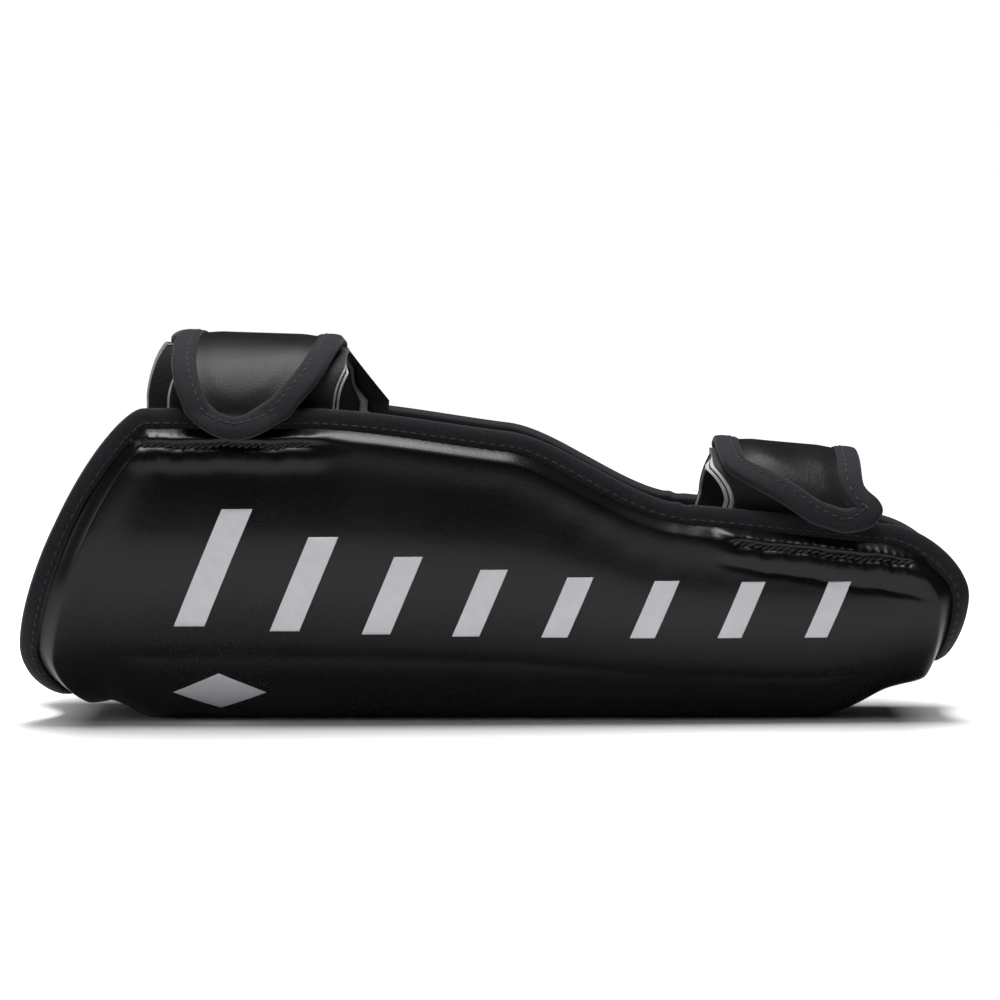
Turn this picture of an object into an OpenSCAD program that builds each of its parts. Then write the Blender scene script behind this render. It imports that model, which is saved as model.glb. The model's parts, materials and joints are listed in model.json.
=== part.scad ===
// Limb guard for kick boxing: a padded trough of synthetic leather over foam, bound
// all round its edge, with a raised bar down its front and two hook-and-loop straps
// across its open back. It lies on its front, knee end at -X, ankle end at +X, and its
// straps close on the near side, -Y. Millimetres.

/* [Trough] */
// Length from the knee end to the ankle end
guard_l = 384; // [340:1:420]
// Outer half width at the knee end
knee_half_w = 76; // [70:1:82]
// How much narrower the half width is at the ankle end
ankle_narrowing = 28; // [20:1:34]
// Height of the edge at the knee end
knee_h = 129; // [120:1:136]
// How far each side leans in over the limb at its edge
lean_in = 5; // [2:1:8]

/* [Padding] */
// Whole thickness at the middle of the front
front_t = 19; // [16:0.5:22]
// Whole thickness of the sides
side_t = 13; // [11:0.5:15]
// Thickness pressed flat inside the edge tape
edge_t = 6; // [5:0.5:7]
// Thickness of the leather cover
cover_t = 1.2; // [1:0.1:1.4]
// Thickness of the fabric lining
lining_t = 0.8; // [0.6:0.1:1]
// Share of the foam that is the firm outer layer
firm_share = 0.55; // [0.4:0.05:0.7]

/* [Front bar] */
// How far the bar stands out at its knee end
bar_h = 7; // [7:0.1:7]
// Half width of the bar, as a share of the way from the front's middle to the edge
bar_half_share = 0.34; // [0.28:0.01:0.38]

/* [Edge tape] */
// Thickness of the tape
tape_t = 0.8; // [0.6:0.1:1]
// Width of the tape on each face
tape_w = 7; // [6:0.5:8]

/* [Straps] */
// Thickness of each strap layer
layer_t = 1.2; // [1:0.1:1.4]
// Width of the upper strap
upper_w = 68; // [60:1:72]
// Width of the lower strap
lower_w = 58; // [52:1:62]
// Width of the upper strap's stretch panel at the far edge
upper_root_w = 96; // [90:1:104]
// Width of the lower strap's stretch panel at the far edge
lower_root_w = 68; // [64:1:70]

/* [Hidden] */

skin_gap = 0.1;       // between the trough's layers
u_steps = 26;         // steps along the trough
arc_share = 0.62;     // share of a section's height that its round lower part takes
flat_zone = 8.5;      // width pressed flat inside the edge
edge_zone = 25;       // where the rounded shoulder inside the edge ends
edge_pull = 3;        // how far the cover turns in at the edge
knee_tip_share = 0.35;   // where across the section the knee end reaches furthest
ankle_tip_share = 0.56;  // the same at the ankle end
knee_notch = 12;      // hollow in the middle of the knee end
ankle_notch = 5;      // hollow in the middle of the ankle end
knee_corner = 50;     // length of the rounded corner from the knee end to the edge
ankle_corner = 34;    // length of the rounded corner from the ankle end to the edge
bar_start = -160;     // the bar's knee end
bar_end = 152;        // the bar's ankle end
bar_zone = 22;        // length over which the bar's ends rise
bar_flat = 1.4;       // how much of the bar's round face is flattened

// ---------------------------------------------------------------- plain functions
function clamp(t) = max(0, min(1, t));
function smooth(t) = let(c = clamp(t)) c * c * (3 - 2 * c);
function unit(a) = a / norm(a);
function rounded(h, p) = 1 - pow(1 - pow(clamp(h), p), 1 / p);
function cosine_steps(n) = [for (i = [0 : n]) (1 - cos(180 * i / n)) / 2];

// ---------------------------------------------------------------- shape of the trough
function edge_height(x) = knee_h - 12 * smooth((x + 80) / 120) - 27 * smooth((x - 5) / 75)
    - 0.1 * max(0, x - 75);
function front_height(x) = bar_h - 3 * smooth((x + 100) / 230)
    + 22 * pow(max(0, x - 125) / 67, 2);
function half_width(x) = knee_half_w - ankle_narrowing * smooth((x + 100) / 330);

// A section runs from the front's middle, t = 0, to the edge, t = 1: an arc, then a leaning side.
arc_t = arc_share * PI / 2 / (arc_share * PI / 2 + 1 - arc_share);
function section_z(t) = t < arc_t ? arc_share * (1 - cos(90 * t / arc_t))
    : arc_share + (1 - arc_share) * (t - arc_t) / (1 - arc_t);
function section_y(t) = t < arc_t ? sin(90 * t / arc_t) : 1;

knee_tip_z = section_z(knee_tip_share);
ankle_tip_z = section_z(ankle_tip_share);
function knee_x(t) = -guard_l / 2 + (t < knee_tip_share
    ? knee_notch * (1 - smooth(t / knee_tip_share))
    : knee_corner * rounded((section_z(t) - knee_tip_z) / (1 - knee_tip_z), 1.4));
function ankle_x(t) = guard_l / 2 - (t < ankle_tip_share
    ? ankle_notch * (1 - smooth(t / ankle_tip_share))
    : ankle_corner * rounded((section_z(t) - ankle_tip_z) / (1 - ankle_tip_z), 2.1));

// u runs from the knee end to the ankle end, v from the near edge, -1, to the far edge, 1.
function place(u, v) = let(
        t = abs(v),
        x = knee_x(t) * (1 - u) + ankle_x(t) * u,
        low = front_height(x),
        lean = lean_in * pow(max(0, t - arc_t) / (1 - arc_t), 2)
    ) [x, sign(v) * (half_width(x) * section_y(t) - lean), low + (edge_height(x) - low) * section_z(t)];

delta = 0.002;
function outward(u, v) = let(
        ua = max(0, u - delta), ub = min(1, u + delta),
        va = max(-1, v - delta), vb = min(1, v + delta),
        n = cross(place(ub, v) - place(ua, v), place(u, vb) - place(u, va))
    ) n[2] * 0 == 0 ? -unit(n) : [0, 0, -1];

// How much of the edge's flatness is left at a place, from the distances to the four edges.
function half_length(x) = 1.25 * (edge_height(x) - front_height(x)) + 18;
function fade(d) = 1 - smooth((d - flat_zone) / (edge_zone - flat_zone));
function slant(xa, xb, run) = run / sqrt(run * run + (xb - xa) * (xb - xa));
function near_edge(u, v) = let(
        t = abs(v),
        x = place(u, v)[0],
        side = half_length(x),
        ta = max(0, t - 0.02), tb = min(1, t + 0.02), run = (tb - ta) * side,
        knee_d = (x - knee_x(t)) * slant(knee_x(ta), knee_x(tb), run),
        ankle_d = (ankle_x(t) - x) * slant(ankle_x(ta), ankle_x(tb), run)
    ) 1 - (1 - fade((1 - t) * side)) * (1 - fade(knee_d)) * (1 - fade(ankle_d));

function bar_rise(u, v) = let(
        x = place(u, v)[0],
        across = clamp((1 - abs(v) / bar_half_share) / 0.5),
        along = smooth((x - bar_start) / bar_zone) * smooth((bar_end - x) / bar_zone)
    ) (front_height(max(x, bar_start)) + bar_flat) * smooth(across) * along;

function whole_t(u, v) = let(k = near_edge(u, v))
    (side_t + (front_t - side_t) * (1 - smooth(abs(v) / 0.6))) * (1 - k) + edge_t * k;
function cover_out(u, v) = -edge_pull * near_edge(u, v);
foam_top = cover_t + skin_gap;
foam_floor = lining_t + skin_gap;
function foam_depth(u, v, share) = let(t = whole_t(u, v))
    cover_out(u, v) - foam_top - (t - foam_top - foam_floor) * share;

function deep(u, v, d) = place(u, v) + outward(u, v) * d;

// ---------------------------------------------------------------- solids from grids
// A closed solid between two grids of points that match one to one. Seen from the top grid's side,
// its rows run upward and its columns to the right.
module between(top, under) {
    rows = len(top);
    cols = len(top[0]);
    n = rows * cols;
    function at(i, j) = i * cols + j;
    rim = concat(
        [for (j = [0 : cols - 1]) at(0, j)],
        [for (i = [1 : rows - 1]) at(i, cols - 1)],
        [for (j = [cols - 2 : -1 : 0]) at(rows - 1, j)],
        [for (i = [rows - 2 : -1 : 1]) at(i, 0)]);
    polyhedron(
        points = concat([for (r = top) each r], [for (r = under) each r]),
        faces = concat(
            [for (i = [0 : rows - 2], j = [0 : cols - 2]) each
                [[at(i, j), at(i, j + 1), at(i + 1, j + 1)], [at(i, j), at(i + 1, j + 1), at(i + 1, j)]]],
            [for (i = [0 : rows - 2], j = [0 : cols - 2]) each
                [[n + at(i, j), n + at(i + 1, j + 1), n + at(i, j + 1)],
                 [n + at(i, j), n + at(i + 1, j), n + at(i + 1, j + 1)]]],
            [for (k = [0 : len(rim) - 1]) let(a = rim[k], b = rim[(k + 1) % len(rim)]) each
                [[a, n + a, n + b], [a, n + b, b]]]));
}

// Rings of points joined into a solid: closed on itself, or capped at both ends.
module rings(list, loop = false) {
    m = len(list[0]);
    n = len(list);
    last = loop ? n - 1 : n - 2;
    polyhedron(
        points = [for (r = list) each r],
        faces = concat(
            [for (i = [0 : last], j = [0 : m - 1]) let(
                    a = i * m + j, b = i * m + (j + 1) % m,
                    c = ((i + 1) % n) * m + (j + 1) % m, d = ((i + 1) % n) * m + j)
                each [[a, c, b], [a, d, c]]],
            loop ? [] : channel_cap(0, m, false),
            loop ? [] : channel_cap((n - 1) * m, m, true)));
}

// The end of a channel of m points, which go round its outside and back along its inside.
function channel_cap(start, m, flip) = [
    for (j = [0 : m / 2 - 2]) each [for (q = [[j, m - 1 - j, m - 2 - j], [j, m - 2 - j, j + 1]])
        [for (i = [0 : 2]) start + q[flip ? i : 2 - i]]]];

// A channel of tape round an edge. p is a point on the edge midway through the thickness, n the
// way out of the face, m the way in from the edge, and h half of the thickness that it holds.
tape_play = 0.45;
function channel(p, n, m, h, t, play, w) = let(i = h + play, o = i + t) [
    p + n * o + m * w, p + n * o - m * (play + t), p - n * o - m * (play + t), p - n * o + m * w,
    p - n * i + m * w, p - n * i - m * play, p + n * i - m * play, p + n * i + m * w];

// ---------------------------------------------------------------- the trough's layers
us = cosine_steps(u_steps);
half_vs = [0.09, 0.17, 0.22, 0.27, 0.34, 0.44, 0.55, 0.66, 0.77, 0.87, 0.94, 0.98, 1];
v_half = len(half_vs);
vs = [for (j = [-v_half : v_half]) j == 0 ? 0 : sign(j) * half_vs[abs(j) - 1]];
v_steps = 2 * v_half;

// The bar's face is flat where the guard rests on it.
function rest(p, z) = [p[0], p[1], max(z, p[2])];
function bar_skin(u, v, d) = rest(deep(u, v, cover_out(u, v) + bar_rise(u, v) - d), d);

module outer_cover() {
    color([0.05, 0.05, 0.055]) between(
        [for (u = us) [for (v = vs) bar_skin(u, v, cover_t)]],
        [for (u = us) [for (v = vs) bar_skin(u, v, 0)]]);
}

module foam_layer(from, to) {
    between(
        [for (u = us) [for (v = vs) deep(u, v, foam_depth(u, v, to) + skin_gap)]],
        [for (u = us) [for (v = vs) deep(u, v, foam_depth(u, v, from))]]);
}
module firm_foam() {
    color([0.16, 0.16, 0.17]) foam_layer(0, firm_share);
}
module soft_foam() {
    color([0.42, 0.43, 0.45]) foam_layer(firm_share, 1);
}
module inner_lining() {
    color([0.09, 0.09, 0.1]) between(
        [for (u = us) [for (v = vs) deep(u, v, cover_out(u, v) - whole_t(u, v))]],
        [for (u = us) [for (v = vs) deep(u, v, cover_out(u, v) - whole_t(u, v) + lining_t)]]);
}

// The bar's own foam fills the space under the raised part of the cover, on the cover's grid.
module front_bar_foam() {
    bar_us = [for (i = [3 : 21]) us[i]];
    bar_vs = [for (j = [v_half - 5 : v_half + 5]) vs[j]];
    foot = cover_t + skin_gap / 2;
    top = cover_t + 2 * skin_gap;
    color([0.16, 0.16, 0.17]) between(
        [for (u = bar_us) [for (v = bar_vs) deep(u, v, cover_out(u, v) - foot)]],
        [for (u = bar_us) [for (v = bar_vs)
            rest(deep(u, v, cover_out(u, v) + max(0.03 - foot, bar_rise(u, v) - top)), top)]]);
}

// ---------------------------------------------------------------- edge binding
// The edge as [u, v] all the way round, and the middle of the padding's thickness there.
edge_round = concat(
    [for (i = [0 : u_steps - 1]) [us[i], -1]],
    [for (i = [0 : v_steps - 1]) [1, vs[i]]],
    [for (i = [u_steps : -1 : 1]) [us[i], 1]],
    [for (i = [v_steps : -1 : 1]) [0, vs[i]]]);
function edge_mid(u, v) = deep(u, v, -edge_pull - edge_t / 2);

module edge_binding() {
    n = len(edge_round);
    mids = [for (e = edge_round) edge_mid(e[0], e[1])];
    color([0.03, 0.03, 0.035]) rings([for (i = [0 : n - 1]) let(
            e = edge_round[i],
            along = unit(mids[(i + 1) % n] - mids[(i + n - 1) % n]),
            inner = edge_mid(0.5 + (e[0] - 0.5) * 0.97, e[1] * 0.985),
            in_way = unit((inner - mids[i]) - along * ((inner - mids[i]) * along))
        ) channel(mids[i], cross(along, in_way), in_way, edge_t / 2, tape_t, tape_play, tape_w)],
        loop = true);
}

// ---------------------------------------------------------------- straps, upper [0] and lower [1]
root_x = [[-141, -141 + upper_root_w], [86, 86 + lower_root_w]];   // the far edge's seam
strap_x = [[-130, -130 + upper_w], [92, 92 + lower_w]];            // the strap over the limb
tip_x = [-105, 139];                // where the tab reaches lowest
tab_flare = [0, 7];                 // how much further towards the ankle the tab spreads
tip_drop = [10, 2.5];                 // how far below the edge it reaches
tab_powers = [[[2.5, 1.35], [1.7, 1.08]], [[3.2, 0.88], [8, 1.5]]];  // shape of the tab's two sides
crest_z = [157, 110.5];             // height of the strap's middle layer at its crest
crest_y = [-8, -6];
flap_x = [[-132, -64], [94, 156]];  // the flap's seam inside the near edge
flap_end_x = [[-126, -60], [85, 146]];
sew_depth = 13;                     // how far below the edge the straps are sewn in
hinge_gap = 0.9;                    // bare length either side of each bending line
strap_tape_t = 0.6;
strap_tape_w = 8.5;
strap_play = 0.72;
near_slope = 0.22;                  // how far the tab spreads outward as it goes down

corner_a = -guard_l / 2 + knee_corner;
corner_b = guard_l / 2 - ankle_corner;
// The edge taken as a straight line along each strap, from the middle of its thickness.
function edge_at(k, side, x) = let(
        a = edge_mid((root_x[k][0] - corner_a) / (corner_b - corner_a), side),
        b = edge_mid((root_x[k][1] - corner_a) / (corner_b - corner_a), side),
        q = (x - a[0]) / (b[0] - a[0])
    ) [x, a[1] + (b[1] - a[1]) * q, a[2] + (b[2] - a[2]) * q];
function bend(a, b, c, q) = a * (1 - q) * (1 - q) + b * 2 * q * (1 - q) + c * q * q;
inside = edge_t / 2 + tape_play + tape_t + 1;     // from the edge's middle to a strap's middle
over = tape_play + tape_t + 1.6;                  // from the edge's top to a bending line

// Middle layer of a strap at x: q = 0 at the far edge, 1 at the crest, 2 where it turns straight
// down past the near edge, and more than 2 down the outside.
function far_line(k, x) = edge_at(k, 1, x) + [0, -inside, over];
function crest(k, x) = let(m = (far_line(k, x)[2] - far_line(k, tip_x[k])[2]) * 0.5)
    [x, crest_y[k], crest_z[k] + m];
function near_line(k, x) = edge_at(k, -1, x) + [0, -inside - 4.0, 0];
function strap_path(k, x, q) = let(f = far_line(k, x), c = crest(k, x), n = near_line(k, x))
    q <= 1 ? bend(f, [x, f[1] - 9, c[2]], c, q)
    : q <= 2 ? bend(c, [x, n[1] + (c[2] - n[2]) * near_slope, c[2]], n, q - 1)
    : n - [0, near_slope, 1] * (q - 2) * 20;
function strap_up(k, x, q) = let(d = strap_path(k, x, q + 0.01) - strap_path(k, x, max(0, q - 0.01)))
    unit([0, d[2], -d[1]]);
function strap_at(k, x, q, d) = strap_path(k, x, q) + strap_up(k, x, q) * d;

// A layer over rows of [q, x from, x to], from one distance off the middle to another.
module strap_layer(k, rows, from, to, columns = 6) {
    function at(r, j, d) = strap_at(k, r[1] + (r[2] - r[1]) * j / columns, r[0], d);
    between(
        [for (r = rows) [for (j = [0 : columns]) at(r, j, from)]],
        [for (r = rows) [for (j = [0 : columns]) at(r, j, to)]]);
}

function mix(a, b, t) = a + (b - a) * t;
function strap_row(k, q) = [q,
    mix(root_x[k][0], strap_x[k][0], pow(clamp(q), 2)),
    mix(root_x[k][1], strap_x[k][1], 1 - pow(1 - clamp(q), 2.3))];
far_start = 0.03;       // the stretch panel begins this far along
panel_end = 0.62;
face_start = 0.5;
peel_q = 1.04;          // the tab bends here
function tab_end(k) = 2 + tip_drop[k] / 20;
tape_q = 0.42;          // the tape's width at the tab's tip, in steps of q
function tab_row(k, s, in = 0) = let(c = tip_x[k], p = tab_powers[k]) [
    mix(peel_q + 0.025, tab_end(k) - tape_q * in / strap_tape_w, s),
    c + (strap_x[k][0] + in - c) * pow(1 - pow(s, p[0][0]), 1 / p[0][1]),
    c + (strap_x[k][1] - in + tab_flare[k] * smooth((s - 0.42) / 0.36) - c)
        * pow(1 - pow(s, p[1][0]), 1 / p[1][1])];
tab_steps = [0, 0.08, 0.16, 0.24, 0.32, 0.4, 0.48, 0.55, 0.61, 0.67, 0.73, 0.78, 0.83, 0.87, 0.91,
    0.945, 0.97, 0.985, 0.996];

module stretch_panel(k) {
    color([0.3, 0.3, 0.31]) strap_layer(k, [for (i = [0 : 8])
        strap_row(k, mix(far_start, panel_end, i / 8))], layer_t / 2, -layer_t / 2);
}

// The face and the backing part round the stretch panel's end and close up beyond it.
function parted(q) = layer_t / 2 + 0.15 - (layer_t / 2) * smooth((q - panel_end - 0.01) / 0.08);
module strap_sheet(k, side) {
    rows = [for (i = [0 : 9]) strap_row(k, mix(face_start, peel_q - 0.025, i / 9))];
    function at(r, j, d) = strap_at(k, r[1] + (r[2] - r[1]) * j / 6, r[0], side * d);
    near = [for (r = rows) [for (j = [0 : 6]) at(r, j, parted(r[0]))]];
    far = [for (r = rows) [for (j = [0 : 6]) at(r, j, parted(r[0]) + layer_t)]];
    if (side > 0) between(far, near);
    else between(near, far);
}
module strap_face(k) {
    color([0.05, 0.05, 0.055]) strap_sheet(k, 1);
}
module strap_backing(k) {
    color([0.12, 0.12, 0.13]) strap_sheet(k, -1);
}

// Tape along both sides of the strap, and round the tab in one length. Each entry of a list is a
// place on the edge and the place on the tape's inner line that belongs to it, as [q, x, q, x].
function tape_at(k, e, t, d) = strap_at(k, mix(e[1], e[3], t), mix(e[0], e[2], t), d);
module strap_tape(k, list) {
    i = layer_t + 0.15 + strap_play;
    o = i + strap_tape_t;
    rings([for (e = list) let(
            p = strap_at(k, e[1], e[0], 0),
            n = strap_up(k, e[1], e[0]),
            m = (strap_at(k, e[3], e[2], 0) - p) / strap_tape_w
        ) concat(
            [for (t = [1, 0.5]) tape_at(k, e, t, o)],
            [p + n * o - m * (0.15 + strap_tape_t), p - n * o - m * (0.15 + strap_tape_t)],
            [for (t = [0.5, 1]) tape_at(k, e, t, -o)],
            [for (t = [1, 0.5]) tape_at(k, e, t, -i)],
            [p - n * i - m * 0.15, p + n * i - m * 0.15],
            [for (t = [0.5, 1]) tape_at(k, e, t, i)])]);
}
module strap_binding(k) {
    w = strap_tape_w;
    rows = [for (i = [0 : 7]) strap_row(k, mix(panel_end + 0.1, peel_q - 0.025, i / 7))];
    color([0.03, 0.03, 0.035]) {
        strap_tape(k, [for (r = rows) [r[0], r[1], r[0], r[1] + w]]);
        strap_tape(k, [for (i = [7 : -1 : 0]) let(r = rows[i]) [r[0], r[2], r[0], r[2] - w]]);
    }
}
module tab_binding(k) {
    n = len(tab_steps) - 1;
    rows = [for (s = tab_steps) tab_row(k, s)];
    inner = [for (s = tab_steps) tab_row(k, s, strap_tape_w)];
    color([0.03, 0.03, 0.035]) strap_tape(k, concat(
        [for (i = [0 : n]) [rows[i][0], rows[i][1], inner[i][0], inner[i][1]]],
        [[tab_end(k), tip_x[k], tab_end(k) - tape_q, tip_x[k]]],
        [for (i = [n : -1 : 0]) [rows[i][0], rows[i][2], inner[i][0], inner[i][2]]]));
}
module tab_face(k) {
    color([0.05, 0.05, 0.055])
        strap_layer(k, [for (s = tab_steps) tab_row(k, s)], layer_t + 0.15, 0.15);
}
module hook_patch(k) {
    color([0.1, 0.1, 0.11])
        strap_layer(k, [for (s = tab_steps) tab_row(k, s)], -0.15, -layer_t - 0.15);
}

// ---------------------------------------------------------------- flaps inside the near edge
// f = 0 at the bending line by the edge, 1 where the flap meets the strap, 2 at its free end.
flap_depth = layer_t + 0.15 + strap_play + strap_tape_t + 0.5;
function flap_line(k, x) = edge_at(k, -1, x) + [0, inside, over];
function flap_q(f) = 1.5 - 0.55 * (f - 1);
function flap_path(k, x, f, d) = let(
        j = strap_at(k, x, flap_q(1), -flap_depth),
        down = unit(strap_path(k, x, 1.51) - strap_path(k, x, 1.49)),
        h = flap_line(k, x),
        a = f <= 1 ? bend(h, j + down * norm(j - h) * 0.5, j, f) : strap_at(k, x, flap_q(f), -flap_depth),
        g = f <= 1 ? bend(h, j + down * norm(j - h) * 0.5, j, f + 0.01) - a
            : strap_at(k, x, flap_q(f + 0.01), -flap_depth) - a
    ) a - unit([0, -g[2], g[1]]) * d;
function flap_row(k, f) = let(t = smooth(f / 1.2)) [f,
    mix(flap_x[k][0], flap_end_x[k][0], t), mix(flap_x[k][1], flap_end_x[k][1], t)];
module flap_layer(k, from, to) {
    rows = [for (i = [0 : 12]) flap_row(k, mix(0.06, 2, i / 12))];
    function at(r, j, d) = flap_path(k, r[1] + (r[2] - r[1]) * j / 5, r[0], d);
    between(
        [for (r = rows) [for (j = [0 : 5]) at(r, 5 - j, from)]],
        [for (r = rows) [for (j = [0 : 5]) at(r, 5 - j, to)]]);
}
module loop_flap(k) {
    color([0.13, 0.13, 0.14]) flap_layer(k, 0, layer_t);
}
module flap_lining(k) {
    color([0.45, 0.46, 0.48]) flap_layer(k, layer_t + 0.1, layer_t + 0.9);
}

// Bands sewn to the lining inside the edges, that the straps and flaps bend from.
module sewn_band(x, side) {
    band_xs = [for (i = [0 : 8]) mix(x[0], x[1], i / 8)];
    function depth(d) = tape_play + tape_t + 0.5 - (tape_t + 0.3) * smooth((d - tape_w - 0.5) / 4);
    function at(x, i, add) = let(
            d = mix(0, sew_depth, i / 6),
            t = 1 - d / half_length(x),
            u = (x - knee_x(t)) / (ankle_x(t) - knee_x(t)),
            v = side * t
        ) deep(u, v, cover_out(u, v) - whole_t(u, v) - depth(d) - add);
    top = [for (x = band_xs) [for (i = [0 : 6]) at(x, side > 0 ? 6 - i : i, layer_t)]];
    under = [for (x = band_xs) [for (i = [0 : 6]) at(x, side > 0 ? 6 - i : i, 0)]];
    color([0.2, 0.2, 0.21]) between(top, under);
}

module upper_strap_anchor() { sewn_band(root_x[0], 1); }
module lower_strap_anchor() { sewn_band(root_x[1], 1); }
module upper_flap_anchor() { sewn_band(flap_x[0], -1); }
module lower_flap_anchor() { sewn_band(flap_x[1], -1); }
module upper_stretch_panel() { stretch_panel(0); }
module lower_stretch_panel() { stretch_panel(1); }
module upper_strap_face() { strap_face(0); }
module lower_strap_face() { strap_face(1); }
module upper_strap_backing() { strap_backing(0); }
module lower_strap_backing() { strap_backing(1); }
module upper_strap_binding() { strap_binding(0); }
module lower_strap_binding() { strap_binding(1); }
module upper_tab_face() { tab_face(0); }
module lower_tab_face() { tab_face(1); }
module upper_tab_binding() { tab_binding(0); }
module lower_tab_binding() { tab_binding(1); }
module upper_hook_patch() { hook_patch(0); }
module lower_hook_patch() { hook_patch(1); }
module upper_loop_flap() { loop_flap(0); }
module lower_loop_flap() { loop_flap(1); }
module upper_flap_lining() { flap_lining(0); }
module lower_flap_lining() { flap_lining(1); }

outer_cover();
firm_foam();
soft_foam();
front_bar_foam();
inner_lining();
edge_binding();
upper_strap_anchor();
upper_stretch_panel();
upper_strap_face();
upper_strap_backing();
upper_strap_binding();
upper_tab_face();
upper_hook_patch();
upper_tab_binding();
upper_flap_anchor();
upper_loop_flap();
upper_flap_lining();
lower_strap_anchor();
lower_stretch_panel();
lower_strap_face();
lower_strap_backing();
lower_strap_binding();
lower_tab_face();
lower_hook_patch();
lower_tab_binding();
lower_flap_anchor();
lower_loop_flap();
lower_flap_lining();
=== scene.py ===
"""A padded trough-shaped limb guard lying on its front bar, with two hook-and-loop straps."""

import json
import math

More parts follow.
